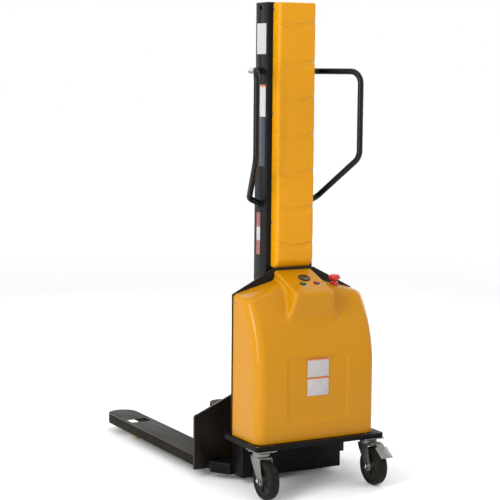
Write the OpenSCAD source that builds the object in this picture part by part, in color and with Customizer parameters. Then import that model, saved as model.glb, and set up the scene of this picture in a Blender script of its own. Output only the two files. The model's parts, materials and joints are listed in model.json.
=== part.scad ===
// Battery stacker that rises on its own straddle legs: fixed mast, fork carriage, deck on swivel casters.
// Millimetres. X is the operator's right, Y is forward to the fork tips, Z is up, floor at z = 0.
// Forward places are counted from the housing's rear face; place() moves them to the middle of the box.

/* [Overall] */
// Height of the mast above the floor
mast_height = 2000; // [1800:10:2400]
// Width across the outsides of the two forks
fork_span = 685; // [640:5:760]
// Length of a fork in front of the carriage plate
fork_length = 1021; // [800:1:1300]

/* [Deck] */
// Width of the deck plate
deck_width = 611; // [590:1:640]
// Thickness of the deck plate
deck_thickness = 19; // [12:1:24]
// How far the deck reaches behind the housing
deck_overhang = 34; // [20:1:60]
// Wall of the folded riser under the deck
riser_wall = 8; // [5:1:12]
// Width of the riser
riser_width = 480; // [400:5:500]
// Front to back length of the riser
riser_depth = 86; // [70:1:90]
// Height of the riser's lower edge above the floor
riser_bottom = 27; // [22:1:60]

/* [Casters] */
// Distance between the two swivel axes
caster_spacing = 516; // [490:2:530]
// Height from the floor to the top of the caster plate
caster_height = 197; // [190:1:230]
// Place of the swivel axes in front of the housing's rear face
caster_y = 12; // [0:1:30]
// Distance of the wheel axle behind the swivel axis
caster_trail = 43; // [30:1:50]
// Diameter of the rear wheels
wheel_d = 160; // [125:1:165]
// Width of the rear wheels
wheel_width = 44; // [32:1:48]
// Diameter of the wheel axles
wheel_axle_d = 12; // [10:1:16]
// Width and length of the caster's top plate
caster_plate = [94, 104];
// Thickness of the caster's sheet steel
caster_sheet = 4; // [3:0.5:6]
// Reach of the brake pedal behind the swivel axis
pedal_reach = 142; // [130:1:160]
// Width of the brake pedal
pedal_width = 56; // [40:1:64]

/* [Housing] */
// Width of the housing
housing_width = 566; // [540:1:590]
// Front to back depth of the housing
housing_depth = 216; // [200:1:240]
// Height of the housing's outer top edge above the deck
shoulder_height = 585; // [500:5:680]
// Height of the console's top edge above the deck
console_height = 677; // [600:1:780]
// Width of the console
console_width = 176; // [160:1:200]
// Radius of the upright rear corners
housing_corner = 42; // [20:1:60]
// Wall of the housing
housing_wall = 4; // [3:0.5:6]
// Radius of the curve that leans the rear face forward
lean_radius = 500; // [400:10:700]
// Height above the deck at which that curve starts
lean_start = 274; // [200:5:350]

/* [Mast] */
// Width across the outsides of the two channels
mast_width = 224; // [210:1:240]
// Front to back depth of a channel
mast_depth = 102; // [96:1:110]
// Web thickness of a channel
mast_web = 8; // [6:1:10]
// Flange thickness of a channel
mast_flange = 11; // [8:1:14]
// Flange width of a channel, web included
mast_flange_width = 42; // [38:1:46]
// Gap from the housing's front edge to the channels
mast_gap = 35; // [30:1:50]
// Thickness of the backplate that carries the housing
backplate_thickness = 6; // [4:1:10]

/* [Mast cover] */
// How far the cover's side edges lie inside the outsides of the channels
cover_inset = 24; // [15:1:30]
// Depth of the mast cover
cover_depth = 53; // [40:1:58]
// Wall of the mast cover
cover_wall = 5; // [4:0.5:8]
// Number of cross grooves in the cover
groove_count = 7; // [3:1:9]
// Height of one groove
groove_height = 25; // [15:1:40]
// Depth of a groove
groove_depth = 3; // [1:0.5:4]

/* [Carriage] */
// Width of the carriage plate
carriage_width = 747; // [700:1:800]
// Thickness of the carriage plate
carriage_thickness = 12; // [8:1:16]
// Height of the plate's lower edge
carriage_bottom = 37; // [30:1:60]
// Height of the plate's outer top corners
carriage_corner_z = 275; // [240:1:320]
// Height of the plate's flat top between the posts
carriage_top_z = 392; // [370:1:420]
// Gap from the channels' front flanges to the carriage plate
carriage_gap = 33; // [20:1:50]
// Thickness of a guide post
post_thickness = 14; // [10:1:16]
// Height of the upper and lower guide roller axles
guide_roller_z = [150, 350];
// Width of a guide roller
guide_roller_width = 29; // [24:1:30]
// Diameter of a guide roller's stub axle
stub_d = 30; // [20:1:36]

/* [Forks] */
// Width of one fork
fork_width = 140; // [130:1:165]
// Height of the fork's top face when lowered
fork_top = 82; // [80:1:95]
// Depth of the fork's side walls
fork_side = 46; // [40:1:52]
// Plate thickness of the forks
fork_plate = 5; // [4:0.5:6]
// Width and length of the slot over the load roller
fork_slot = [104, 72];

/* [Legs] */
// Width of a straddle leg
leg_width = 68; // [60:1:76]
// Height of a straddle leg
leg_height = 36; // [30:1:40]
// Height of a leg's underside above the floor
leg_bottom = 34; // [30:1:38]
// Wall of the hollow legs
leg_wall = 5; // [4:0.5:8]
// Diameter of the load rollers
load_roller_d = 74; // [66:1:76]
// Distance of the load roller axle behind the fork tip
load_roller_setback = 259; // [180:1:300]
// Diameter of the load roller axles
load_axle_d = 20; // [16:1:24]
// Half width of the cross beam at its rear face and at its front
beam_half_widths = [257, 305];
// Height of the cross beam's underside and top
beam_z = [24, 71];

/* [Equipment] */
// Width and height of each of the two batteries
battery_size = [232, 205];
// Diameter and height of the pump motor
motor_size = [116, 200];
// Width, depth and height of the oil reservoir
reservoir_size = [110, 116, 180];
// Width, depth and height of the motor controller
controller_size = [102, 100, 50];
// Height of the equipment shelf above the deck
shelf_height = 262; // [240:1:300]
// Clearance between the equipment and the backplate
equipment_gap = 20; // [10:1:30]

/* [Lift] */
// Outside diameter of the cylinder barrel
barrel_d = 56; // [50:1:58]
// Bore of the cylinder barrel
barrel_bore = 46; // [40:1:50]
// Diameter of the piston rod
rod_d = 32; // [25:1:36]
// Height of the sheave axle when lowered
sheave_z = 1150; // [1150:5:1180]
// Pitch radius of the chain sheaves
sheave_radius = 36; // [32:1:38]
// Distance between the two chains
chain_spacing = 76; // [74:1:78]
// Width and thickness of a chain
chain_section = [11, 9];

/* [Handles] */
// Diameter of the handle tube
handle_d = 25; // [20:1:32]
// Height of the handle's upper arm
handle_top_z = 1720; // [1500:5:1750]
// Length of the upright grip
grip_length = 355; // [250:5:420]
// Sideways distance of the grip from the mast's centre
grip_x = 246; // [220:1:280]
// Place of the grip in front of the housing's rear face
grip_y = 100; // [60:1:140]
// Drop from the bottom of the grip to the lower end of the handle
handle_drop = 200; // [150:5:240]

/* [Controls] */
// Diameter of the battery gauge
gauge_d = 50; // [40:1:60]
// Sideways place of the gauge
gauge_x = 10; // [-20:1:30]
// Sideways places of the raise and lower buttons
button_x = [-20, 45];
// Diameter of a push button
button_d = 16; // [12:1:22]
// Travel of a push button
button_travel = 3; // [2:0.5:4]
// Diameter of the emergency stop's cap
estop_d = 50; // [40:1:60]
// Sideways place of the emergency stop
estop_x = 163; // [140:1:190]
// Travel of the emergency stop
estop_travel = 5; // [4:0.5:6]

/* [Fits] */
// Radial clearance of a shaft that turns or slides in a bore
running_gap = 0.05; // [0.02:0.01:0.1]
// Gap between neighbours that move past each other
side_gap = 1; // [0.5:0.1:2]

/* [Hidden] */
$fn = 64;
cut = 1; // overshoot of a cutting solid

deck_top = caster_height + deck_thickness;
mast_rear = housing_depth + mast_gap;
mast_front = mast_rear + mast_depth;
mast_mid = mast_rear + mast_depth / 2;
plate_rear = mast_front + carriage_gap;
plate_front = plate_rear + carriage_thickness;
fork_tip = plate_front + fork_length;
box_mid = (fork_tip + caster_y - pedal_reach) / 2;

cover_width = mast_width - 2 * cover_inset;
fork_mid_x = (fork_span - fork_width) / 2;
leg_mid_x = beam_half_widths[1] - leg_width / 2;
leg_rear = plate_rear - 6;
// Half the spacing of a caster plate's bolts, across and along
caster_hole = [caster_plate[0] / 2 - 12, caster_plate[1] / 2 - 22];
load_roller_y = fork_tip - load_roller_setback;
load_roller_z = load_roller_d / 2;
beam_rear = mast_rear + 40;
beam_chamfer = 75;

web_inner = mast_width / 2 - mast_web;
flange_tip = mast_width / 2 - mast_flange_width;
foot_thickness = 12;
mast_bottom = beam_z[1] + foot_thickness;
guide_roller_d = mast_depth - 2 * mast_flange - 0.6;
post_x = flange_tip - 4 - post_thickness;
post_rear = mast_mid - stub_d;
post_z = [guide_roller_z[0] - 48, guide_roller_z[1] + 48];

cylinder_y = mast_rear + 47;
barrel_top = sheave_z - 150;
crosshead_z = sheave_z - 50;
chain_x = chain_spacing / 2;
sheave_width = 13;
crossbar_z = [242, 266];
anchor_height = 30;
rear_anchor_z = 620;
tie_z = [rear_anchor_z - 60, 1120, mast_height - 90];
tie_height = 80;
tie_thickness = 8;
tie_half = cover_width / 2 - cover_wall - 2;

console_slope = 21;
console_front_y = 65;
shoulder_slope = 14.5;
shoulder_tilt = 5.5;
console_top = deck_top + console_height;
cover_bottom = console_top + 8;
cover_top = mast_height - 1;
groove_pitch = (cover_top - cover_bottom) / (groove_count + 0.3);
swivel_gap = 0.4;
yoke_x = wheel_width / 2 + 4;
kingpin_d = 16;
tyre_inner = wheel_d / 2 - 22;

function console_z(y) = console_top - (housing_depth - y) * tan(console_slope);
function shoulder_z(x, y) = deck_top
    + (shoulder_height + (housing_width / 2 + cut - abs(x)) * tan(shoulder_slope)) / cos(shoulder_tilt)
    - (housing_depth - y) * tan(shoulder_tilt);

panel_recess = 2;
button_y = 98;
gauge_y = 142;
estop_y = 150;
shelf_z = deck_top + shelf_height;
shelf_sheet = 4;
shelf_half = 240;
handle_low_z = handle_top_z - grip_length - handle_drop;

pedal_pivot = [-56, caster_height - 23];
pedal_pin_d = 8;
pedal_ear_x = 18;

// Labels on the left channel's web: forward place, height, width and height of each
web_labels = [
    [mast_mid - 36, handle_top_z + 68, 76, 126], [mast_mid - 36, handle_top_z - 190, 48, 132],
    [mast_mid - 34, handle_top_z - 400, 50, 190], [mast_mid - 2, handle_low_z - 210, 34, 175]
];
label_thickness = 0.8;

// ---- helpers ----

// Moves the truck's own places to the frame of the part
module place() translate([0, -box_mid, 0]) children();

module box(x, y, z) translate([x[0], y[0], z[0]]) cube([x[1] - x[0], y[1] - y[0], z[1] - z[0]]);

// Solid from a Y-Z outline between two sideways places
module along_x(x) translate([x[0], 0, 0]) rotate([90, 0, 90]) linear_extrude(x[1] - x[0]) children();

// Solid from an X-Z outline between two forward places
module along_y(y) translate([0, y[1], 0]) rotate([90, 0, 0]) linear_extrude(y[1] - y[0]) children();

// Solid from a plan outline between two heights
module along_z(z) translate([0, 0, z[0]]) linear_extrude(z[1] - z[0]) children();

module rod_x(x, y, z, d) translate([x[0], y, z]) rotate([0, 90, 0]) cylinder(h = x[1] - x[0], d = d);

module rod_z(x, y, z, d) translate([x, y, z[0]]) cylinder(h = z[1] - z[0], d = d);

// The left side is the mirror image of the right one
module side(s) mirror([s < 0 ? 1 : 0, 0, 0]) children();

module both_sides() for (s = [-1, 1]) side(s) children();

module round_rect(size, r) {
    square([size[0] - 2 * r, size[1]], center = true);
    square([size[0], size[1] - 2 * r], center = true);
    for (x = [-1, 1], y = [-1, 1]) translate([x * (size[0] / 2 - r), y * (size[1] / 2 - r)]) circle(r);
}

function unit(v) = v / norm(v);
function last(v) = v[len(v) - 1];

// Points along the bend of radius r at inner point i of the route p
bend_steps = 6;
function bend_points(p, i, r) = let (
    u = unit(p[i] - p[i - 1]), v = unit(p[i + 1] - p[i]), angle = acos(u * v), w = unit(v - (u * v) * u),
    centre = p[i] - u * r * tan(angle / 2) + w * r
) [for (k = [0 : bend_steps]) let (a = angle * k / bend_steps) centre + r * (u * sin(a) - w * cos(a))];

// The whole centre line: straight stretches with one bend radius for each inner point
function centre_line(p, r) = concat(
    [p[0]], [for (i = [1 : len(p) - 2]) each bend_points(p, i, r[i - 1])], [last(p)]
);
function directions(c) = [for (k = [0 : len(c) - 1]) unit(c[min(k + 1, len(c) - 1)] - c[max(k - 1, 0)])];

// A normal for each point, carried along the line without twist
function normals(t, n, k) = k == len(t) ? []
    : let (m = unit(n - (n * t[k]) * t[k])) concat([m], normals(t, m, k + 1));

// Moves a point along t to the upright plane at x
function onto_plane(p, t, x) = p + t * (x - p[0]) / t[0];

// Round tube along a route; both ends are cut flat at x = cut_x where it is given
module tube(p, r, d, cut_x = undef, sides = 16) {
    c = centre_line(p, r);
    t = directions(c);
    n = normals(t, [0.1, 0.2, 1], 0);
    end = len(c) - 1;
    points = [for (k = [0 : end], j = [0 : sides - 1])
        let (a = 360 * j / sides, q = c[k] + d / 2 * (n[k] * cos(a) + cross(t[k], n[k]) * sin(a)))
        is_undef(cut_x) || (k > 0 && k < end) ? q : onto_plane(q, t[k], cut_x)];
    faces = concat(
        [for (k = [0 : end - 1], j = [0 : sides - 1]) let (m = (j + 1) % sides)
            [k * sides + j, (k + 1) * sides + j, (k + 1) * sides + m, k * sides + m]],
        [[for (j = [0 : sides - 1]) j], [for (j = [sides - 1 : -1 : 0]) end * sides + j]]
    );
    polyhedron(points, faces, convexity = 4);
}

// ---- deck, legs and mast ----

module deck_plate() color("#2b2b2b") place()
    along_z([caster_height, deck_top]) difference() {
        translate([0, (mast_rear - deck_overhang) / 2])
            round_rect([deck_width, mast_rear + deck_overhang], 14);
        both_sides() for (x = [-1, 1], y = [-1, 1])
            translate([caster_spacing / 2 + x * caster_hole[0], caster_y + y * caster_hole[1]])
                circle(d = 10.6);
    }

module base_riser() color("#202020") place() {
    y = [beam_rear - riser_depth, beam_rear];
    z = [riser_bottom, caster_height];
    box([-riser_width / 2, riser_width / 2], [y[0], y[0] + riser_wall], z);
    both_sides() box([riser_width / 2 - riser_wall, riser_width / 2], y, z);
}

module leg_crossbeam() color("#1c1c1c") place() difference() {
    front = leg_rear;
    along_z(beam_z) polygon([
        [-beam_half_widths[0], beam_rear], [beam_half_widths[0], beam_rear],
        [beam_half_widths[1], beam_rear + beam_chamfer], [beam_half_widths[1], front],
        [-beam_half_widths[1], front], [-beam_half_widths[1], beam_rear + beam_chamfer]
    ]);
    wall = 8;
    along_z([beam_z[0] - cut, beam_z[1] - wall])
        translate([0, (beam_rear + front) / 2])
        square([2 * beam_half_widths[0] - 2 * wall, front - beam_rear - 2 * wall], center = true);
}

// Hollow leg with two cheeks that hold the load roller
module leg(s) color("#1c1c1c") place() side(s) {
    x = [leg_mid_x - leg_width / 2, leg_mid_x + leg_width / 2];
    z = [leg_bottom, leg_bottom + leg_height];
    front = load_roller_y - load_roller_d / 2 - 8;
    difference() {
        box(x, [leg_rear, front], z);
        box([x[0] + leg_wall, x[1] - leg_wall], [leg_rear + leg_wall, front - leg_wall],
            [z[0] + leg_wall, z[1] - leg_wall]);
    }
    for (cheek = [[x[0], x[0] + 6], [x[1] - 6, x[1]]])
        difference() {
            along_x(cheek) union() {
                translate([front, z[0] - 10]) square([load_roller_y - front, z[1] - z[0] + 6]);
                translate([load_roller_y, load_roller_z + 6]) circle(d = 38);
                translate([front, z[0] - 10]) square([load_roller_y - front + 12, 18]);
            }
            rod_x([cheek[0] - cut, cheek[1] + cut], load_roller_y, load_roller_z, load_axle_d);
        }
}

module leg_left() leg(-1);
module leg_right() leg(1);

module load_axles() color("silver") place() both_sides() {
    rod_x([leg_mid_x - leg_width / 2 - 3, leg_mid_x + leg_width / 2 + 3], load_roller_y, load_roller_z,
          load_axle_d);
}

module mast_channel(s) color("#262626") place() side(s) difference() {
    along_z([mast_bottom, mast_height]) difference() {
        translate([flange_tip, mast_rear]) square([mast_flange_width, mast_depth]);
        translate([flange_tip - cut, mast_rear + mast_flange])
            square([mast_flange_width - mast_web + cut, mast_depth - 2 * mast_flange]);
    }
    rod_x([web_inner - cut, mast_width / 2 + cut], mast_mid + 10, mast_height - 22, 20);
}

module mast_channel_left() mast_channel(-1);
module mast_channel_right() mast_channel(1);

module mast_ties() color("#262626") place() {
    foot_y = [mast_rear - 6, mast_front + 6];
    difference() {
        box([-mast_width / 2 - 8, mast_width / 2 + 8], foot_y, [beam_z[1], mast_bottom]);
        rod_z(0, cylinder_y, [mast_bottom - 4, mast_bottom + cut], barrel_d + 2 * running_gap);
    }
    for (z = tie_z)
        box([-tie_half, tie_half], [mast_rear - tie_thickness, mast_rear], [z, z + tie_height]);
    box([-web_inner, web_inner], [mast_rear + mast_flange, mast_front - mast_flange],
        [mast_height - 14, mast_height - 4]);
}

// Plate behind the housing, with blocks that stand it off the channels
module backplate() color("#2a2622") place() {
    half = housing_width / 2 + 4;
    edge_z = deck_top + shoulder_height + 4;
    top_half = console_width / 2 + 12;
    top_z = cover_bottom - 1;
    along_y([housing_depth, housing_depth + backplate_thickness])
        polygon([[-half, deck_top], [half, deck_top], [half, edge_z], [top_half, top_z], [-top_half, top_z],
                 [-half, edge_z]]);
    for (z = [deck_top + 60, deck_top + 340, deck_top + 600])
        both_sides() box([tie_half + 2, mast_width / 2 - 4],
                         [housing_depth + backplate_thickness, mast_rear], [z, z + 50]);
}

// ---- mast cover ----

// A drooping groove: a strip between two shallow arcs
module groove_strip() {
    droop = 700;
    intersection() {
        difference() {
            translate([0, -droop]) circle(droop + groove_height / 2, $fn = 200);
            translate([0, -droop]) circle(droop - groove_height / 2, $fn = 200);
        }
        square([cover_width + 2 * cut, 4 * groove_height], center = true);
    }
}

module mast_cover() color("#e0a125") place() difference() {
    y = [mast_rear - cover_depth, mast_rear];
    along_z([cover_bottom, cover_top]) {
        r = 8;
        translate([-cover_width / 2 + r, y[0]]) square([cover_width - 2 * r, cover_depth]);
        translate([-cover_width / 2, y[0] + r]) square([cover_width, cover_depth - r]);
        for (x = [-1, 1]) translate([x * (cover_width / 2 - r), y[0] + r]) circle(r);
    }
    box([-cover_width / 2 + cover_wall, cover_width / 2 - cover_wall],
        [y[0] + cover_wall + groove_depth, y[1] + cut], [cover_bottom - cut, cover_top - cover_wall]);
    for (i = [0 : groove_count - 1])
        translate([0, 0, cover_bottom + (i + 0.7) * groove_pitch])
            along_y([y[0] - cut, y[0] + groove_depth]) groove_strip();
}

module cover_screws() color("silver") place() both_sides()
    for (z = [cover_bottom + 190, (cover_bottom + cover_top) / 2 + 94, cover_top - 29])
        rod_x([cover_width / 2, cover_width / 2 + 3], mast_rear - 7, z, 9);

// ---- housing ----

// Forward place of the leaning rear face at a height above the deck, for a skin set in by t
function lean_y(h, t) = h <= lean_start ? t
    : lean_radius - sqrt((lean_radius - t) * (lean_radius - t) - (h - lean_start) * (h - lean_start));

module lean_outline(t) {
    top = shoulder_height + 70;
    polygon(concat(
        [[housing_depth + 2 * cut, deck_top - 2 * cut], [t, deck_top - 2 * cut]],
        [for (i = [0 : 16]) let (h = lean_start + (top - lean_start) * i / 16)
            [lean_y(h, t), deck_top + h]],
        [[housing_depth + 2 * cut, deck_top + top]]
    ));
}

// Outline of the two shoulders seen from the rear
module shoulder_outline(t) {
    half = housing_width / 2 + cut;
    edge = shoulder_height - t * 1.04;
    ridge = edge + (half - 60) * tan(shoulder_slope);
    polygon([[-half, -cut], [half, -cut], [half, edge], [60, ridge], [-60, ridge], [-half, edge]]);
}

module console_outline(t) {
    front = console_front_y + t * 0.7;
    polygon([
        [housing_depth + 2 * cut, deck_top + 400], [lean_y(400, t), deck_top + 400],
        [lean_y(500, t) - 10, deck_top + 500], [lean_y(540, t) - 22, deck_top + 545],
        [front - 32, deck_top + 588], [front - 20, console_z(front) - 14 - t],
        [front, console_z(front) - t], [housing_depth + 2 * cut, console_z(housing_depth + 2 * cut) - t]
    ]);
}

// The housing's outer shape, set in by t on every side but the open front and bottom
module housing_form(t, front) {
    intersection() {
        along_z([deck_top - (t > 0 ? cut : 0), console_top + cut]) {
            r = housing_corner - t;
            half = housing_width / 2 - t;
            translate([-half, t + r]) square([2 * half, front - t - r]);
            translate([-half + r, t]) square([2 * half - 2 * r, front - t]);
            both_sides() translate([half - r, t + r]) circle(r);
        }
        union() {
            intersection() {
                along_x([-housing_width / 2, housing_width / 2]) lean_outline(t);
                translate([0, housing_depth, deck_top]) rotate([shoulder_tilt, 0, 0])
                    along_y([-housing_depth - 60, 60]) shoulder_outline(t);
            }
            along_x([-console_width / 2 + t, console_width / 2 - t]) console_outline(t);
        }
    }
}

module on_console(x, y) translate([x, y, console_z(y)]) rotate([console_slope, 0, 0]) children();
module on_shoulder(x, y) translate([x, y, shoulder_z(x, y)]) children();

module housing() color("#d08c28") place() difference() {
    housing_form(0, housing_depth);
    housing_form(housing_wall, housing_depth + cut);
    translate([0, 0, deck_top + 210]) along_y([-cut, panel_recess]) round_rect([284, 262], 24);
    on_console(gauge_x, gauge_y) translate([0, 0, -20]) cylinder(h = 40, d = gauge_d - 4);
    for (x = button_x) on_console(x, button_y) translate([0, 0, -20]) cylinder(h = 40, d = button_d + 4);
    on_shoulder(estop_x, estop_y) translate([0, 0, -30]) cylinder(h = 60, d = 22);
}

module housing_screws() color("silver") place() both_sides() {
    for (z = [deck_top + 22, deck_top + shoulder_height - 30])
        rod_x([housing_width / 2, housing_width / 2 + 3], housing_depth - 20, z, 9);
}

// ---- equipment in the housing ----

equipment_front = housing_depth - equipment_gap;
equipment_z = shelf_z + shelf_sheet;

// Two batteries side by side, each with two terminals
module batteries() color("#303438") place() both_sides() {
    x = [8, 8 + battery_size[0]];
    top = deck_top + battery_size[1];
    box(x, [housing_wall + 18, equipment_front], [deck_top, top]);
    for (t = [x[0] + 46, x[1] - 46]) rod_z(t, housing_depth / 3, [top, top + 14], 16);
}

// Shelf over the batteries, with a gusset at each end
module equipment_shelf() color("#3a3a3a") place() {
    box([-shelf_half, shelf_half], [60, housing_depth], [shelf_z, equipment_z]);
    both_sides() along_x([shelf_half - 14, shelf_half - 10]) polygon([
        [90, shelf_z], [housing_depth, shelf_z], [housing_depth, shelf_z - 40]
    ]);
}

// Motor with its end cap, standing beside the reservoir's pump block
module pump_motor() color("#1f1f1f") place() {
    r = motor_size[0] / 2;
    x = -pump_block - swivel_gap - r;
    y = equipment_front - r;
    rod_z(x, y, [equipment_z, equipment_z + motor_size[1]], 2 * r);
    rod_z(x, y, [equipment_z + motor_size[1], equipment_z + motor_size[1] + 18], 1.04 * r);
}

pump_block = 22;

// Oil tank with the pump block at its foot and a filler cap
module reservoir() color("#9aa0a6") place() {
    top = equipment_z + reservoir_size[2];
    y = equipment_front - reservoir_size[1];
    box([0, reservoir_size[0]], [y, equipment_front], [equipment_z, top]);
    box([-pump_block, 0], [y + 30, equipment_front - 36], [equipment_z, equipment_z + 56]);
    rod_z(reservoir_size[0] / 2, y + 40, [top, top + 16], 36);
}

// Controller with five cooling fins
module controller() color("#7d838a") place() {
    x = 130;
    y = [equipment_front - controller_size[1], equipment_front];
    top = equipment_z + controller_size[2];
    pitch = (controller_size[0] - 2) / 5;
    box([x, x + controller_size[0]], y, [equipment_z, top]);
    for (i = [0 : 4]) box([x + 4 + i * pitch, x + 12 + i * pitch], [y[0] + 4, y[1] - 4], [top, top + 14]);
}

// ---- lift cylinder, chains and sheaves ----

module cylinder_barrel() color("#1d1d1d") place() difference() {
    union() {
        rod_z(0, cylinder_y, [mast_bottom - 4, barrel_top], barrel_d);
        rod_z(0, cylinder_y, [barrel_top, barrel_top + 18], barrel_d - 6);
        box([-14, 14], [cylinder_y - barrel_d / 2 - 4, cylinder_y], [mast_bottom + 20, mast_bottom + 48]);
    }
    rod_z(0, cylinder_y, [mast_bottom + 40, barrel_top - 30], barrel_bore);
    rod_z(0, cylinder_y, [mast_bottom + 40, barrel_top + 18 + cut], rod_d + 2 * running_gap);
}

// Hose clipped between the reservoir's outlet and the port at the foot of the barrel
module pressure_hose() color("#141414") place() {
    port_y = cylinder_y - barrel_d / 2 - 4;
    tube([[0, port_y, mast_bottom + 34], [0, mast_rear - 22, mast_bottom + 34],
          [0, mast_rear - 22, caster_height]], [16], 12);
}

module chain_anchor(x, y, z) {
    box([x - 7, x + 7], [y - 7, y + 7], [z, z + anchor_height]);
}

module rear_chain_anchors() color("#3c3c3c") place() {
    y = cylinder_y - sheave_radius;
    box([-50, 50], [mast_rear, cylinder_y - barrel_d / 2 - side_gap], [rear_anchor_z - 20, rear_anchor_z]);
    both_sides() chain_anchor(chain_x, y, rear_anchor_z);
}

module chain_run(y, z) both_sides()
    box([chain_x - chain_section[0] / 2, chain_x + chain_section[0] / 2],
        [y - chain_section[1] / 2, y + chain_section[1] / 2], z);

module chain_rear() color("#55524c") place()
    chain_run(cylinder_y - sheave_radius, [rear_anchor_z + anchor_height, sheave_z]);

module chain_front() color("#55524c") place()
    chain_run(cylinder_y + sheave_radius, [crossbar_z[1] + anchor_height, sheave_z]);

// The stretch of both chains that lies over the sheaves
module chain_wrap() color("#55524c") place() both_sides()
    translate([chain_x, cylinder_y, sheave_z]) rotate([0, 90, 0]) difference() {
        cylinder(h = chain_section[0], r = sheave_radius + chain_section[1] / 2, center = true);
        cylinder(h = chain_section[0] + 2 * cut, r = sheave_radius - chain_section[1] / 2, center = true);
        translate([0, -2 * sheave_radius, -chain_section[0]])
            cube([2 * sheave_radius, 4 * sheave_radius, 2 * chain_section[0]]);
    }

module cylinder_rod() color("#d9d9d9") place() {
    rod_z(0, cylinder_y, [mast_bottom + 80, crosshead_z], rod_d);
    rod_z(0, cylinder_y, [mast_bottom + 60, mast_bottom + 96], barrel_bore - 2 * running_gap);
}

module crosshead() color("#2f2f2f") place() {
    half = post_x - 2 * side_gap;
    inner = chain_x - sheave_width / 2 - side_gap;
    box([-half, half], [cylinder_y - 18, cylinder_y + 18], [crosshead_z, crosshead_z + 12]);
    box([-inner, inner], [cylinder_y - 16, cylinder_y + 16], [crosshead_z + 12, sheave_z + 16]);
    rod_x([-half, half], cylinder_y, sheave_z, 20);
}

module chain_sheaves() color("#6a6a6a") place() both_sides() difference() {
    half = sheave_width / 2;
    root = sheave_radius - chain_section[1] / 2 - 0.4;
    translate([chain_x, cylinder_y, sheave_z]) rotate([0, 90, 0]) rotate_extrude() polygon([
        [10 + running_gap, -half], [root, -half], [root, half], [10 + running_gap, half]
    ]);
}

// ---- handles ----

// Bent tube from the channel's web out to an upright grip and back, cut flush with the web
module handle(s) color("#1e1e1e") place() side(s) {
    web = mast_width / 2;
    elbow = web + 54;
    grip_bottom = handle_top_z - grip_length;
    tube([[web, mast_mid, handle_top_z], [elbow, mast_mid, handle_top_z],
          [grip_x, grip_y, handle_top_z], [grip_x, grip_y, grip_bottom],
          [elbow, mast_mid, handle_low_z + 26], [web, mast_mid, handle_low_z]],
         [28, 50, 60, 28], handle_d, cut_x = web);
}

module handle_left() handle(-1);
module handle_right() handle(1);

// ---- controls ----

module gauge() color("#111111") place() on_console(gauge_x, gauge_y) difference() {
    union() {
        cylinder(h = 5, d = gauge_d);
        translate([0, 0, -18]) cylinder(h = 18, d = gauge_d - 6);
    }
    translate([0, 0, 1]) cylinder(h = 5, d = gauge_d - 10);
}

module gauge_lens() color("#40484c") place() on_console(gauge_x, gauge_y)
    translate([0, 0, 1]) cylinder(h = 3, d = gauge_d - 10);

// Threaded collars that guide the two push buttons
module control_collars() color("#101010") place() for (x = button_x)
    on_console(x, button_y) difference() {
        union() {
            cylinder(h = 3, d = button_d + 8);
            translate([0, 0, -16]) cylinder(h = 16, d = button_d + 3);
        }
        translate([0, 0, -8]) cylinder(h = 20, d = button_d + 2 * running_gap);
    }

module button(x, tint) color(tint) place() on_console(x, button_y)
    translate([0, 0, -4]) cylinder(h = 4 + 3 + button_travel + 1, d = button_d);

module button_raise() button(button_x[0], "green");
module button_lower() button(button_x[1], "red");

module estop_collar() color("#b3221c") place() on_shoulder(estop_x, estop_y) difference() {
    union() {
        translate([0, 0, 5]) cylinder(h = 9, d = 32);
        translate([0, 0, -22]) cylinder(h = 28, d = 21);
    }
    translate([0, 0, -16]) cylinder(h = 40, d = 14 + 2 * running_gap);
}

module estop_stem() color("#8c1a16") place() on_shoulder(estop_x, estop_y)
    translate([0, 0, -9]) {
        cylinder(h = 9 + 14 + estop_travel + 14, d = 14);
        translate([0, 0, 9 + 14 + estop_travel + 0.5]) cylinder(h = 2.5, d = 18);
    }

module estop_cap() color("#c8281f") place() on_shoulder(estop_x, estop_y)
    translate([0, 0, 14 + estop_travel + 3.3]) difference() {
        rotate_extrude() polygon(concat(
            [[0, 0], [estop_d / 2 - 4, 0], [estop_d / 2, 4], [estop_d / 2, 11]],
            [for (a = [15 : 15 : 90]) [estop_d / 2 - 9 + 9 * cos(a), 11 + 9 * sin(a)]],
            [[0, 20]]
        ));
        translate([0, 0, -cut]) cylinder(h = 12 + cut, d = 14 + 2 * running_gap);
    }

// Blank plates in place of printed labels
module labels() color("#e6e6e2") place() {
    for (z = [deck_top + 181, deck_top + 259])
        box([-51, 51], [panel_recess - label_thickness, panel_recess], [z, z + 74]);
    side(-1) for (l = web_labels)
        box([mast_width / 2, mast_width / 2 + label_thickness], [l[0], l[0] + l[2]], [l[1], l[1] + l[3]]);
}

// ---- casters ----

module caster_at(s) translate([s * caster_spacing / 2, caster_y, 0]) children();

module caster_plates() color("silver") place() for (s = [-1, 1]) caster_at(s) {
    difference() {
        along_z([caster_height - caster_sheet, caster_height]) round_rect(caster_plate, 8);
        for (x = [-1, 1], y = [-1, 1])
            rod_z(x * caster_hole[0], y * caster_hole[1],
                  [caster_height - caster_sheet - cut, caster_height + cut], 10.6);
    }
    rod_z(0, 0, [caster_height - 40, caster_height - caster_sheet], kingpin_d);
    rod_z(0, 0, [caster_height - 40, caster_height - 34], kingpin_d + 10);
}

module caster_bolts() color("silver") place() for (s = [-1, 1]) caster_at(s)
    for (x = [-1, 1], y = [-1, 1])
    translate([x * caster_hole[0], y * caster_hole[1], 0]) {
        rod_z(0, 0, [caster_height - caster_sheet - 6, deck_top], 10);
        rod_z(0, 0, [caster_height - caster_sheet - 6, caster_height - caster_sheet], 15);
    }

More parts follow.
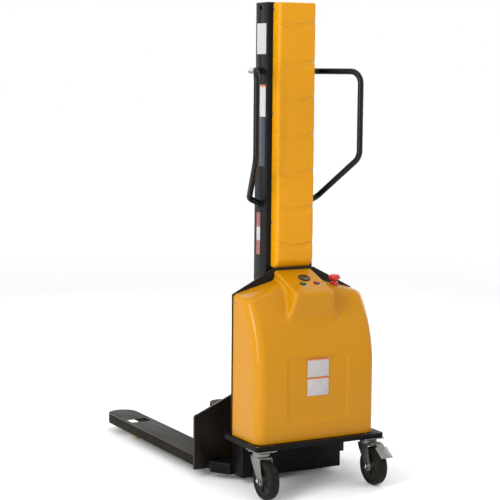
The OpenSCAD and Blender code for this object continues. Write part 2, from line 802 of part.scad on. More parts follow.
// Yoke of one caster, trailing to the rear
module caster_fork(s) color("silver") place() caster_at(s) {
    crown = [caster_height - 34 + swivel_gap, caster_height - caster_sheet - swivel_gap];
    plate_z = crown[0] + 5;
    difference() {
        union() {
            rod_z(0, 0, [plate_z, crown[1]], 66);
            along_z([crown[0], plate_z]) round_rect([2 * yoke_x + 2 * caster_sheet, 78], 6);
        }
        rod_z(0, 0, [crown[0] - cut, crown[1] + cut], kingpin_d + 2 * running_gap);
    }
    both_sides() difference() {
        along_x([yoke_x, yoke_x + caster_sheet]) union() {
            polygon([[-36, plate_z], [36, plate_z], [30, plate_z - 20],
                     [-caster_trail + 19, wheel_d / 2 - 6], [-caster_trail - 19, wheel_d / 2 - 6]]);
            translate([-caster_trail, wheel_d / 2]) circle(d = 40);
        }
        rod_x([yoke_x - cut, yoke_x + caster_sheet + cut], -caster_trail, wheel_d / 2, wheel_axle_d);
    }
    outer = yoke_x + caster_sheet;
    rod_x([-outer - 8, outer + 8], -caster_trail, wheel_d / 2, wheel_axle_d);
    both_sides() rod_x([outer, outer + 8], -caster_trail, wheel_d / 2, 20);
}

module caster_fork_left() caster_fork(-1);

// The right yoke has ears that carry the brake pedal
module caster_fork_right() {
    caster_fork(1);
    color("silver") place() caster_at(1) both_sides() difference() {
        along_x([pedal_ear_x, pedal_ear_x + caster_sheet]) pedal_ear();
        rod_x([pedal_ear_x - cut, pedal_ear_x + caster_sheet + cut], pedal_pivot[0], pedal_pivot[1],
              pedal_pin_d + 2 * running_gap);
    }
}

module pedal_ear() {
    translate([pedal_pivot[0], pedal_pivot[1]]) circle(d = 18);
    translate([pedal_pivot[0], pedal_pivot[1] - 9]) square([-pedal_pivot[0] - 30, 13]);
}

module wheel_hub(s) color("#8a8d90") place() caster_at(s)
    translate([0, -caster_trail, wheel_d / 2]) rotate([0, 90, 0]) rotate_extrude() polygon([
        [wheel_axle_d / 2 + running_gap, -wheel_width / 2 - 2], [22, -wheel_width / 2 - 2],
        [24, -9], [tyre_inner - 12, -9], [tyre_inner - 8, -wheel_width / 2 + 4],
        [tyre_inner, -wheel_width / 2 + 4], [tyre_inner, wheel_width / 2 - 4],
        [tyre_inner - 8, wheel_width / 2 - 4], [tyre_inner - 12, 9], [24, 9],
        [22, wheel_width / 2 + 2], [wheel_axle_d / 2 + running_gap, wheel_width / 2 + 2]
    ]);

module wheel_hub_left() wheel_hub(-1);
module wheel_hub_right() wheel_hub(1);

module tyre(s) color("#262422") place() caster_at(s)
    translate([0, -caster_trail, wheel_d / 2]) rotate([0, 90, 0]) rotate_extrude() {
        r = 13;
        half = wheel_width / 2;
        intersection() {
            union() {
                translate([tyre_inner, -half + 3]) square([wheel_d / 2 - tyre_inner - r, 2 * half - 6]);
                translate([tyre_inner, -half + r]) square([wheel_d / 2 - tyre_inner, 2 * half - 2 * r]);
                for (x = [-1, 1]) translate([wheel_d / 2 - r, x * (half - r)]) circle(r);
            }
            translate([tyre_inner, -half]) square([wheel_d / 2 - tyre_inner, 2 * half]);
        }
    }

module tyre_left() tyre(-1);
module tyre_right() tyre(1);

// Foot lever on the right caster
module brake_pedal() color("silver") place() caster_at(1) {
    rod_x([-pedal_width / 2, pedal_width / 2], pedal_pivot[0], pedal_pivot[1], pedal_pin_d);
    rod_x([-pedal_ear_x + side_gap / 2, pedal_ear_x - side_gap / 2], pedal_pivot[0], pedal_pivot[1], 16);
    along_x([-pedal_ear_x + side_gap, pedal_ear_x - side_gap]) polygon([
        [pedal_pivot[0], pedal_pivot[1] + 7], [pedal_pivot[0] - 30, pedal_pivot[1] + 7],
        [pedal_pivot[0] - 44, pedal_pivot[1] - 8], [pedal_pivot[0] - 40, pedal_pivot[1] - 12],
        [pedal_pivot[0] - 28, pedal_pivot[1] + 1], [pedal_pivot[0], pedal_pivot[1] - 4]
    ]);
    along_x([-pedal_width / 2, pedal_width / 2]) polygon([
        [pedal_pivot[0] - 40, pedal_pivot[1] - 4], [-pedal_reach, pedal_pivot[1] - 36],
        [-pedal_reach, pedal_pivot[1] - 41], [pedal_pivot[0] - 40, pedal_pivot[1] - 9]
    ]);
}

// ---- carriage and forks ----

module carriage_plate() color("#3b332c") place() difference() {
    half = carriage_width / 2;
    r = 16;
    notch = leg_width / 2 + 7;
    top_half = 90;
    along_y([plate_rear, plate_front]) difference() {
        union() {
            polygon([[-half, carriage_bottom], [half, carriage_bottom], [half, carriage_corner_z - r],
                     [half - r, carriage_corner_z], [top_half, carriage_top_z], [-top_half, carriage_top_z],
                     [-half + r, carriage_corner_z], [-half, carriage_corner_z - r]]);
            both_sides() translate([half - r, carriage_corner_z - r]) circle(r);
        }
        both_sides() translate([leg_mid_x - notch, carriage_bottom - cut])
            square([2 * notch, leg_bottom + leg_height + 7 - carriage_bottom + cut]);
    }
}

module guide_posts() color("#2c2c2c") place() both_sides()
    difference() {
        along_x([post_x, post_x + post_thickness])
            polygon([[post_rear, post_z[0]], [plate_rear, post_z[0]], [plate_rear, carriage_top_z - 6],
                     [mast_front, post_z[1]], [post_rear, post_z[1]]]);
        for (z = guide_roller_z) rod_x([post_x - cut, post_x + post_thickness + cut], mast_mid, z, stub_d);
    }

module roller_stubs() color("#8f9296") place() both_sides() for (z = guide_roller_z)
    rod_x([post_x, web_inner - 3], mast_mid, z, stub_d);

// Open shell of one fork, with a rounded nose
module fork(s) color("#4a4844") place() side(s) translate([fork_mid_x, 0, 0]) {
    z = [fork_top - fork_side, fork_top];
    difference() {
        intersection() {
            along_z(z) fork_plan(0);
            along_x([-fork_width / 2, fork_width / 2]) polygon([
                [plate_front, z[0]], [fork_tip - 58, z[0]], [fork_tip, z[0] + 20], [fork_tip, z[1]],
                [plate_front, z[1]]
            ]);
        }
        along_z([z[0] - cut, z[1] - fork_plate]) fork_plan(fork_plate);
        translate([-fork_slot[0] / 2, load_roller_y - 26, z[1] - fork_plate - cut])
            cube([fork_slot[0], fork_slot[1], fork_plate + 2 * cut]);
    }
}

// Plan of a fork set in by t: straight sides and a half-round nose
module fork_plan(t) {
    half = fork_width / 2 - t;
    root = plate_front - (t > 0 ? cut : 0);
    translate([-half, root]) square([2 * half, fork_tip - fork_width / 2 - root]);
    translate([0, fork_tip - fork_width / 2]) circle(half, $fn = 160);
}

module fork_left() fork(-1);
module fork_right() fork(1);

// Bar between the posts that takes the two chains
module carriage_crossbar() color("#343434") place() {
    y = cylinder_y + sheave_radius;
    box([-post_x, post_x], [cylinder_y + barrel_d / 2 + side_gap, mast_front + 12], crossbar_z);
    both_sides() chain_anchor(chain_x, y, crossbar_z[1]);
}

module guide_roller(s, z) color("#9a9da1") place() side(s)
    translate([web_inner - 2 - guide_roller_width / 2, mast_mid, z]) rotate([0, 90, 0])
    difference() {
        cylinder(h = guide_roller_width, d = guide_roller_d, center = true);
        cylinder(h = guide_roller_width + 2 * cut, d = stub_d + 2 * running_gap, center = true);
    }

module guide_roller_upper_left() guide_roller(-1, guide_roller_z[1]);
module guide_roller_upper_right() guide_roller(1, guide_roller_z[1]);
module guide_roller_lower_left() guide_roller(-1, guide_roller_z[0]);
module guide_roller_lower_right() guide_roller(1, guide_roller_z[0]);

module load_roller(s) color("#c9b62e") place() side(s)
    translate([leg_mid_x, load_roller_y, load_roller_z]) rotate([0, 90, 0]) difference() {
        width = leg_width - 12 - 3;
        cylinder(h = width, d = load_roller_d, center = true);
        cylinder(h = width + 2 * cut, d = load_axle_d + 2 * running_gap, center = true);
    }

module load_roller_left() load_roller(-1);
module load_roller_right() load_roller(1);

deck_plate();
base_riser();
leg_crossbeam();
leg_left();
leg_right();
load_axles();
mast_channel_left();
mast_channel_right();
mast_ties();
backplate();
mast_cover();
cover_screws();
housing();
housing_screws();
batteries();
equipment_shelf();
pump_motor();
reservoir();
controller();
cylinder_barrel();
pressure_hose();
rear_chain_anchors();
chain_rear();
handle_left();
handle_right();
gauge();
gauge_lens();
control_collars();
estop_collar();
labels();
caster_plates();
caster_bolts();
carriage_plate();
guide_posts();
roller_stubs();
fork_left();
fork_right();
carriage_crossbar();
guide_roller_upper_left();
guide_roller_upper_right();
guide_roller_lower_left();
guide_roller_lower_right();
cylinder_rod();
crosshead();
chain_front();
chain_wrap();
chain_sheaves();
caster_fork_left();
caster_fork_right();
wheel_hub_left();
wheel_hub_right();
tyre_left();
tyre_right();
brake_pedal();
load_roller_left();
load_roller_right();
button_raise();
button_lower();
estop_stem();
estop_cap();
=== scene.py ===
"""Looks of the battery stacker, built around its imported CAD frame."""
import json
import math

import bmesh
import bpy
import numpy as np
from mathutils import Matrix, Vector


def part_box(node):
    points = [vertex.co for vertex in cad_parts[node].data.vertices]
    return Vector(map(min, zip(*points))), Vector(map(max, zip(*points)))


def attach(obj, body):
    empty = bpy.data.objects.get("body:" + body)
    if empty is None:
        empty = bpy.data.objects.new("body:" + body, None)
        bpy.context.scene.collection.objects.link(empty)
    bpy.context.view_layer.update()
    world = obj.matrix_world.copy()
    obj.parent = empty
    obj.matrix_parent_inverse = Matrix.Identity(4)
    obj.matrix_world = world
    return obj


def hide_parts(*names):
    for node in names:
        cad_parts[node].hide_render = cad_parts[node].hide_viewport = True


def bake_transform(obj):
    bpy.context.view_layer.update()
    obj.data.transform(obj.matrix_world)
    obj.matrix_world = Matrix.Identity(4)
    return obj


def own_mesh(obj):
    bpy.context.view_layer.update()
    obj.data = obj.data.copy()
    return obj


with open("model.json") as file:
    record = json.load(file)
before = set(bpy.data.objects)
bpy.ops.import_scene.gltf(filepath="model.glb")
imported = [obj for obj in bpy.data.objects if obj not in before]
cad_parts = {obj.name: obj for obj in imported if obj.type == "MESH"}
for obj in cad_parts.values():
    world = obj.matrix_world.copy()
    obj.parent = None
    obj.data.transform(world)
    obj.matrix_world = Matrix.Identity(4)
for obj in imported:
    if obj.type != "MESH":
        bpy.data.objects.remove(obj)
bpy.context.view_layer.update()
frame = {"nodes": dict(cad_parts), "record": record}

BODY_OF = {n: b for b, nodes in frame["record"]["behaviour"]["bodies"].items() for n in nodes}
SLOT_OF = {s["node"]: s["material_slot"] for s in frame["record"]["subparts"]}
MM = 0.001
# Places in the truck's own millimetres: X from the middle, Y from the housing's rear face, Z from the floor
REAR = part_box("housing")[0].y          # rear face of the housing
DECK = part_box("deck_plate")[1].z / MM  # top of the deck, in mm
COVER_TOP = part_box("mast_cover")[1].z / MM
COVER_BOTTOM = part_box("mast_cover")[0].z / MM


def at(x, y, z):
    """A place in truck millimetres, as metres in the frame."""
    return Vector((x * MM, REAR + y * MM, z * MM))


# ---- camera ----

CAMERA_PLACE = (-3220.92, -5289.59, 1708.41)
CAMERA_TURN = (-28.6774, 6.5826, 0.5164)  # azimuth, elevation and roll in degrees
LENS, SENSOR, SHIFT = 110.37, 36, (0.00123, 0.0005)


def make_camera():
    azimuth, elevation, roll = (math.radians(a) for a in CAMERA_TURN)
    back = Vector((math.sin(azimuth) * math.cos(elevation), -math.cos(azimuth) * math.cos(elevation),
                   math.sin(elevation)))
    right = (-back).cross(Vector((0, 0, 1))).normalized()
    up = right.cross(-back)
    x = right * math.cos(roll) + up * math.sin(roll)
    y = up * math.cos(roll) - right * math.sin(roll)
    data = bpy.data.cameras.new("camera")
    data.sensor_width = SENSOR
    data.lens = LENS
    data.shift_x, data.shift_y = SHIFT
    data.clip_start, data.clip_end = 0.1, 100
    camera = bpy.data.objects.new("camera", data)
    bpy.context.scene.collection.objects.link(camera)
    turn = Matrix((x, y, back)).transposed().to_4x4()
    camera.matrix_world = Matrix.Translation(at(*CAMERA_PLACE)) @ turn
    bpy.context.scene.camera = camera


make_camera()


# ---- materials ----

def linear(r, g, b):
    """sRGB 0-255 to linear."""
    shares = (r / 255, g / 255, b / 255)
    return tuple(c / 12.92 if c <= 0.04045 else ((c + 0.055) / 1.055) ** 2.4 for c in shares)


class Nodes:
    """A material's node tree with a Principled shader and object coordinates."""

    def __init__(self, name):
        self.material = bpy.data.materials.new(name)
        self.material.use_nodes = True
        self.tree = self.material.node_tree
        self.shader = self.tree.nodes["Principled BSDF"]
        self.place = self.add("ShaderNodeTexCoord").outputs["Object"]

    def add(self, kind, inputs=None, **settings):
        node = self.tree.nodes.new(kind)
        for key, value in settings.items():
            setattr(node, key, value)
        for key, value in (inputs or {}).items():
            if isinstance(value, bpy.types.NodeSocket):
                self.tree.links.new(value, node.inputs[key])
            else:
                node.inputs[key].default_value = value
        return node

    def put(self, key, value):
        if isinstance(value, bpy.types.NodeSocket):
            self.tree.links.new(value, self.shader.inputs[key])
        else:
            self.shader.inputs[key].default_value = value

    def noise(self, scale, detail=3.0, stretch=None, roughness=0.5):
        place = self.place
        if stretch:
            place = self.add("ShaderNodeMapping", {"Vector": place, "Scale": stretch}).outputs[0]
        return self.add("ShaderNodeTexNoise", {"Vector": place, "Scale": scale, "Detail": detail,
                                               "Roughness": roughness}).outputs[0]

    def span(self, value, low, high, to_low=0.0, to_high=1.0):
        return self.add("ShaderNodeMapRange", {"Value": value, "From Min": low, "From Max": high,
                                               "To Min": to_low, "To Max": to_high}).outputs[0]

    def mix(self, share, a, b):
        node = self.add("ShaderNodeMix", data_type="RGBA")
        for key, value in ((0, share), (6, a), (7, b)):
            if isinstance(value, bpy.types.NodeSocket):
                self.tree.links.new(value, node.inputs[key])
            elif key:
                node.inputs[key].default_value = (*value, 1)
            else:
                node.inputs[key].default_value = value
        return node.outputs[2]

    def times(self, a, b):
        return self.add("ShaderNodeMath", {0: a, 1: b}, operation="MULTIPLY").outputs[0]

    def bump(self, *layers):
        """Bump layers, each (height socket, depth in metres)."""
        normal = None
        for height, depth in layers:
            node = self.add("ShaderNodeBump", {"Height": height, "Distance": depth, "Strength": 1.0})
            if normal:
                self.tree.links.new(normal, node.inputs["Normal"])
            normal = node.outputs[0]
        self.put("Normal", normal)


def shade(color, factor):
    return tuple(min(1, c * factor) for c in color)


def painted(name, color, rough=(0.3, 0.4), metallic=0.0, coat=0.0, coat_rough=0.1, cloud=0.08, peel=0.00004,
            peel_scale=260, dust=0.0, scuff=0.0, scuff_color=(0.3, 0.3, 0.3), stretch=None, specular=0.5):
    """Paint, plating, plastic or rubber: cloudy colour, mottled gloss, orange peel, dust and scuffs."""
    n = Nodes(name)
    clouds = n.span(n.noise(7, 4), 0.3, 0.7)
    base = n.mix(clouds, shade(color, 1 - cloud), shade(color, 1 + cloud))
    fine = n.noise(420, 3, stretch)
    if dust:
        speck = n.span(n.noise(55, 8, None, 0.7), 0.52, 0.72, 0, dust)
        base = n.mix(speck, base, (0.33, 0.30, 0.26))
    if scuff:
        lines = n.span(n.noise(38, 6, (1, 1, 9) if stretch is None else stretch, 0.75), 0.56, 0.7, 0, scuff)
        base = n.mix(lines, base, scuff_color)
    n.put("Base Color", base)
    n.put("Roughness", n.span(n.noise(24, 6, stretch, 0.6), 0.3, 0.7, *rough))
    n.put("Metallic", metallic)
    n.put("Coat Weight", coat)
    n.put("Coat Roughness", coat_rough)
    n.put("Specular IOR Level", specular)
    n.bump((n.noise(peel_scale, 2), peel), (fine, peel / 4))
    return n.material


YELLOW = (0.438, 0.186, 0.0015)
MATERIALS = {
    "housing_yellow": painted("housing_yellow", YELLOW, (0.26, 0.35), coat=0.26, coat_rough=0.045, cloud=0.02,
                              peel=0.00002, peel_scale=150, specular=0.08),
    # The cover's yellow is the housing's made 1.3 times brighter, as painted light for the cover's better lit
    # face
    "cover_yellow": painted("cover_yellow", shade(YELLOW, 1.3), (0.24, 0.32), coat=0.26, coat_rough=0.045,
                            cloud=0.02, peel=0.00002, peel_scale=150, specular=0.08),
    "black_paint": painted("black_paint", (0.0035, 0.0035, 0.0036), (0.34, 0.52), cloud=0.2, dust=0.008,
                           specular=0.08),
    "mast_black": painted("mast_black", (0.005, 0.005, 0.0053), (0.32, 0.48), cloud=0.2, dust=0.012,
                          specular=0.12),
    # The carriage's black paint is tinted brown as painted light: the warm light reflected off its face
    "carriage_black": painted("carriage_black", (0.007, 0.0045, 0.0025), (0.3, 0.46), cloud=0.25, dust=0.015,
                              specular=0.14),
    "handle_black": painted("handle_black", (0.0035, 0.0035, 0.004), (0.28, 0.4), cloud=0.15, specular=0.2),
    "fork_grey": painted("fork_grey", (0.012, 0.0103, 0.007), (0.4, 0.56), cloud=0.25, dust=0.05, scuff=0.3,
                         scuff_color=(0.09, 0.078, 0.056), stretch=(1, 0.12, 1), specular=0.04),
    "zinc": painted("zinc", linear(122, 121, 117), (0.3, 0.46), metallic=0.85, cloud=0.18, peel=0.00003,
                    dust=0.12),
    "bright_steel": painted("bright_steel", linear(168, 169, 171), (0.18, 0.3), metallic=1.0, cloud=0.06),
    "bearing_steel": painted("bearing_steel", linear(160, 162, 165), (0.25, 0.38), metallic=1.0, cloud=0.1,
                             dust=0.1),
    "rod_chrome": painted("rod_chrome", linear(214, 216, 220), (0.06, 0.14), metallic=1.0, cloud=0.03,
                          peel=0.000005),
    "chain_steel": painted("chain_steel", (0.06, 0.055, 0.048), (0.3, 0.5), metallic=0.8, cloud=0.3,
                           dust=0.1),
    "battery_case": painted("battery_case", (0.02, 0.022, 0.026), (0.45, 0.6), cloud=0.1, peel=0.00008),
    "motor_black": painted("motor_black", (0.015, 0.015, 0.016), (0.35, 0.5), coat=0.2, cloud=0.15),
    "tank_grey": painted("tank_grey", linear(150, 156, 162), (0.35, 0.5), cloud=0.08, dust=0.1),
    "controller_aluminium": painted("controller_aluminium", linear(150, 154, 160), (0.32, 0.45), metallic=0.9,
                                    cloud=0.06),
    "hose_rubber": painted("hose_rubber", (0.012, 0.012, 0.012), (0.5, 0.65), cloud=0.2, peel=0.0001),
    "black_plastic": painted("black_plastic", (0.006, 0.006, 0.0065), (0.3, 0.42), cloud=0.1, peel=0.00006,
                             peel_scale=500, specular=0.25),
    "red_plastic": painted("red_plastic", linear(178, 20, 18), (0.2, 0.3), coat=0.2, cloud=0.05,
                           peel=0.00002),
    "green_plastic": painted("green_plastic", linear(8, 98, 70), (0.2, 0.3), coat=0.3, cloud=0.05),
    "hub_grey": painted("hub_grey", (0.012, 0.0115, 0.010), (0.4, 0.55), cloud=0.12, dust=0.05,
                        specular=0.18),
    "tyre_rubber": painted("tyre_rubber", (0.006, 0.005, 0.0038), (0.46, 0.62), cloud=0.15, peel=0.00012,
                           peel_scale=320, dust=0.035, specular=0.12),
    "poly_yellow": painted("poly_yellow", linear(168, 152, 34), (0.3, 0.42), coat=0.1, cloud=0.08, dust=0.12),
}
# The same finishes a little lighter on the broken edges: partly wear, partly a painted highlight along each
# edge
WORN_AND_HIGHLIGHT_EDGES = {
    "black_paint": painted("black_paint_edge", (0.010, 0.010, 0.0095), (0.3, 0.45), cloud=0.3, dust=0.03,
                           specular=0.25),
    "mast_black": painted("mast_black_edge", (0.011, 0.011, 0.0105), (0.3, 0.42), cloud=0.3, dust=0.03,
                          specular=0.25),
    # Tinted brown as painted warm reflected light, like carriage_black
    "carriage_black": painted("carriage_black_edge", (0.02, 0.015, 0.010), (0.3, 0.45), cloud=0.3, dust=0.03,
                              specular=0.25),
    "fork_grey": painted("fork_grey_edge", (0.045, 0.041, 0.033), (0.3, 0.45), metallic=0.1, cloud=0.35,
                         dust=0.06),
}


def label_material(name, axis, start, length, bands, print_lines=0.0):
    """A printed film in plain bands along one axis, with faint grey lines in place of its print."""
    n = Nodes(name)
    part = n.add("ShaderNodeSeparateXYZ", {0: n.place}).outputs[axis]
    share = n.span(part, start, start + length)
    ramp = n.add("ShaderNodeValToRGB", {"Fac": share})
    ramp.color_ramp.interpolation = "CONSTANT"
    stops = ramp.color_ramp.elements
    while len(stops) < len(bands):
        stops.new(0.5)
    for stop, (position, color) in zip(stops, bands):
        stop.position, stop.color = position, (*color, 1)
    base = ramp.outputs[0]
    if print_lines:
        wave = n.add("ShaderNodeTexWave", {"Vector": n.place, "Scale": 45.0, "Distortion": 0.0},
                     bands_direction="Z").outputs["Fac"]
        words = n.span(n.noise(160, 2, (1, 1, 0.2)), 0.42, 0.5, 0, print_lines)
        base = n.mix(n.times(n.span(wave, 0.55, 0.75), words), base, (0.12, 0.12, 0.13))
    n.put("Base Color", base)
    n.put("Roughness", n.span(n.noise(40, 4), 0.3, 0.7, 0.32, 0.46))
    n.put("Coat Weight", 0.2)
    n.bump((n.noise(90, 3), 0.00005))
    return n.material


# ---- mesh tools ----

EDGE_ANGLE = 32.0    # edges sharper than this are broken
SMOOTH_ANGLE = 35.0  # and sharper than this stay sharp in the shading
WELD = 0.00002       # corners closer than this are one


def new_object(name, points, faces, materials, smooth=SMOOTH_ANGLE):
    mesh = bpy.data.meshes.new(name)
    mesh.from_pydata([tuple(p) for p in points], [], [tuple(int(i) for i in f) for f in faces])
    mesh.validate()
    finish_mesh(mesh, smooth)
    made = bpy.data.objects.new(name, mesh)
    bpy.context.scene.collection.objects.link(made)
    for material in materials if isinstance(materials, (list, tuple)) else [materials]:
        mesh.materials.append(material)
    return made


def finish_mesh(mesh, smooth):
    mesh.shade_smooth()
    if smooth < 180:
        mesh.set_sharp_from_angle(angle=math.radians(smooth))


def apply_modifiers(made, smooth=SMOOTH_ANGLE):
    bpy.context.view_layer.update()
    graph = bpy.context.evaluated_depsgraph_get()
    mesh = bpy.data.meshes.new_from_object(made.evaluated_get(graph))
    made.modifiers.clear()
    old, made.data = made.data, mesh
    bpy.data.meshes.remove(old)
    finish_mesh(made.data, smooth)
    return made


def bevel(made, width, edge_slot=None):
    """Breaks the edges of a piece by a width in mm; the new faces can take another material slot."""
    modifier = made.modifiers.new("bevel", "BEVEL")
    modifier.width = width * MM
    modifier.segments = 2
    modifier.limit_method = "ANGLE"
    modifier.angle_limit = math.radians(EDGE_ANGLE)
    modifier.use_clamp_overlap = True
    if edge_slot is not None:
        modifier.material = edge_slot
    return apply_modifiers(made)


def stand(made, body, slot, *nodes):
    """The piece rides on a body and stands for CAD nodes, which it hides; the slot is not used."""
    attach(made, body)
    if nodes:
        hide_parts(*nodes)
    return made


def cad_mesh(node):
    """Points and faces of a CAD node with its split corners joined and flat faces merged."""
    source = frame["nodes"][node].data
    work = bmesh.new()
    work.from_mesh(source)
    bmesh.ops.remove_doubles(work, verts=work.verts, dist=WELD)
    bmesh.ops.dissolve_limit(work, angle_limit=math.radians(0.6), verts=work.verts, edges=work.edges)
    work.verts.index_update()
    points = [v.co.copy() for v in work.verts]
    faces = [[v.index for v in f.verts] for f in work.faces]
    work.free()
    return points, faces


def refined(node, width):
    """A CAD node with its edges broken, the edge faces a little lighter: partly wear, partly a painted
    highlight along the edge.
    """
    slot = SLOT_OF[node]
    points, faces = cad_mesh(node)
    made = new_object("v_" + node, points, faces, [MATERIALS[slot], WORN_AND_HIGHLIGHT_EDGES.get(slot, MATERIALS[slot])])
    if width:
        bevel(made, width, 1)
    return stand(made, BODY_OF[node], slot, node)


def joined(*parts):
    """Points and faces of several (points, faces) pairs as one."""
    points, faces = [], []
    for p, f in parts:
        base = len(points)
        points.extend(Vector(q) for q in p)
        faces.extend([i + base for i in face] for face in f)
    return points, faces


ALONG_X = ((0, 1, 0), (0, 0, 1), (1, 0, 0))
ALONG_Z = ((1, 0, 0), (0, 1, 0), (0, 0, 1))


def lathe(profile, centre, axes=ALONG_X, sides=64):
    """Turns (radius, along) pairs in mm round the last of three axes; a zero radius closes an end."""
    points, faces, rings = [], [], []
    u, v, w = (Vector(a) for a in axes)
    for radius, along in profile:
        if radius < 1e-6:
            rings.append([len(points)])
            points.append(centre + w * along * MM)
            continue
        ring = []
        for k in range(sides):
            a = 2 * math.pi * k / sides
            ring.append(len(points))
            points.append(centre + w * along * MM + (u * math.cos(a) + v * math.sin(a)) * radius * MM)
        rings.append(ring)
    for a, b in zip(rings, rings[1:]):
        for k in range(sides):
            m = (k + 1) % sides
            if len(a) == 1 and len(b) == 1:
                continue
            if len(a) == 1:
                faces.append([a[0], b[m], b[k]])
            elif len(b) == 1:
                faces.append([a[k], a[m], b[0]])
            else:
                faces.append([a[k], a[m], b[m], b[k]])
    return points, faces


def block(low, high):
    """A box in truck millimetres."""
    p = [at(x, y, z) for x in (low[0], high[0]) for y in (low[1], high[1]) for z in (low[2], high[2])]
    return p, [[0, 1, 3, 2], [4, 6, 7, 5], [0, 4, 5, 1], [2, 3, 7, 6], [0, 2, 6, 4], [1, 5, 7, 3]]


def moved(part, matrix):
    return [matrix @ Vector(p) for p in part[0]], part[1]


def bent(points, radii, steps=10):
    """Centre line through points in truck mm, with one bend radius at each inner point."""
    p = [Vector(q) for q in points]
    line = [p[0]]
    for i in range(1, len(p) - 1):
        u, v = (p[i] - p[i - 1]).normalized(), (p[i + 1] - p[i]).normalized()
        angle = u.angle(v)
        w = (v - u * u.dot(v)).normalized()
        r = radii[i - 1]
        centre = p[i] - u * r * math.tan(angle / 2) + w * r
        line += [centre + (u * math.sin(angle * k / steps) - w * math.cos(angle * k / steps)) * r
                 for k in range(steps + 1)]
    return line + [p[-1]]


def swept(line, radii, sides):
    """A closed round tube along a line in truck mm, with a radius for each of its points."""
    last = len(line) - 1
    tangents = [(line[min(k + 1, last)] - line[max(k - 1, 0)]).normalized() for k in range(last + 1)]
    normal = Vector((0.1, 0.2, 1.0))
    points, faces = [], []
    for k, (c, t) in enumerate(zip(line, tangents)):
        normal = (normal - t * normal.dot(t)).normalized()
        side = t.cross(normal)
        for j in range(sides):
            a = 2 * math.pi * j / sides
            points.append(at(*(c + (normal * math.cos(a) + side * math.sin(a)) * radii[k])))
    for k in range(last):
        for j in range(sides):
            m = (j + 1) % sides
            faces.append([k * sides + j, (k + 1) * sides + j, (k + 1) * sides + m, k * sides + m][::-1])
    faces.append(list(range(sides)))
    faces.append([last * sides + j for j in reversed(range(sides))])
    return points, faces


def outward(made):
    """Turns every face of a closed piece outwards."""
    work = bmesh.new()
    work.from_mesh(made.data)
    bmesh.ops.recalc_face_normals(work, faces=work.faces)
    work.to_mesh(made.data)
    work.free()
    return made


# ---- moulded shells from smooth fields, in truck millimetres ----

WALL, GAP = 3.6, 0.3  # wall of a moulding, and its gap to the steel that it stands on


def both(a, b, r):
    """Where both fields are inside, with an edge of radius r."""
    return np.minimum(np.maximum(a, b), -r) + np.hypot(np.maximum(a + r, 0), np.maximum(b + r, 0))


def either(a, b, r):
    """Where either field is inside, with a hollow fillet of radius r."""
    return np.maximum(np.minimum(a, b), r) - np.hypot(np.maximum(r - a, 0), np.maximum(r - b, 0))


def ramp_down(value, low, high):
    """1 below low, 0 above high, smooth between."""
    t = np.clip((value - low) / (high - low), 0, 1)
    return 1 - t * t * (3 - 2 * t)


def field_mesh(field, low, high, step):
    """Quads on a field's zero level: one point in each grid cell that the surface passes."""
    low = np.array(low, float)
    count = np.ceil((np.array(high) - low) / step).astype(int) + 1
    value = field(*np.meshgrid(*[low[a] + step * np.arange(count[a]) for a in range(3)], indexing="ij"))
    inside = value < 0
    shape = np.array(value.shape) - 1
    total, hits = np.zeros((*shape, 3)), np.zeros(shape)

    def cells(offset):
        return tuple(slice(offset[a], offset[a] + shape[a]) for a in range(3))

    for axis in range(3):
        for i in (0, 1):
            for j in (0, 1):
                o = [0, 0, 0]
                o[(axis + 1) % 3], o[(axis + 2) % 3] = i, j
                e = list(o)
                e[axis] = 1
                v0, v1 = value[cells(o)], value[cells(e)]
                crossing = (v0 < 0) != (v1 < 0)
                t = np.divide(v0, v0 - v1, out=np.zeros_like(v0), where=crossing)
                hits += crossing
                for a in range(3):
                    total[..., a] += crossing * (t if a == axis else o[a])
    active = hits > 0
    index = np.full(shape, -1)
    index[active] = np.arange(active.sum())
    points = low + step * (np.argwhere(active) + total[active] / hits[active][:, None])
    quads = []
    for axis in range(3):
        b, c = (axis + 1) % 3, (axis + 2) % 3
        first, second = [slice(None)] * 3, [slice(None)] * 3
        first[axis], second[axis] = slice(0, -1), slice(1, None)
        p = np.argwhere(inside[tuple(first)] != inside[tuple(second)])
        p = p[(p[:, b] > 0) & (p[:, b] < shape[b]) & (p[:, c] > 0) & (p[:, c] < shape[c])]
        eb, ec = np.eye(3, dtype=int)[b], np.eye(3, dtype=int)[c]
        quad = np.stack([index[tuple((p - d).T)] for d in (0 * eb, eb, eb + ec, ec)], 1)
        out = inside[tuple(p.T)]
        quads.append(np.where(out[:, None], quad, quad[:, ::-1]))
    for _ in range(3):
        here, reach = field(*points.T), 0.4
        slope = np.stack([(field(*(points + reach * u).T) - field(*(points - reach * u).T)) / (2 * reach)
                          for u in np.eye(3)], 1)
        shift = slope * (here / np.maximum((slope ** 2).sum(1), 1e-6))[:, None]
        points -= np.clip(shift, -step / 2, step / 2)
    return points, np.concatenate(quads)


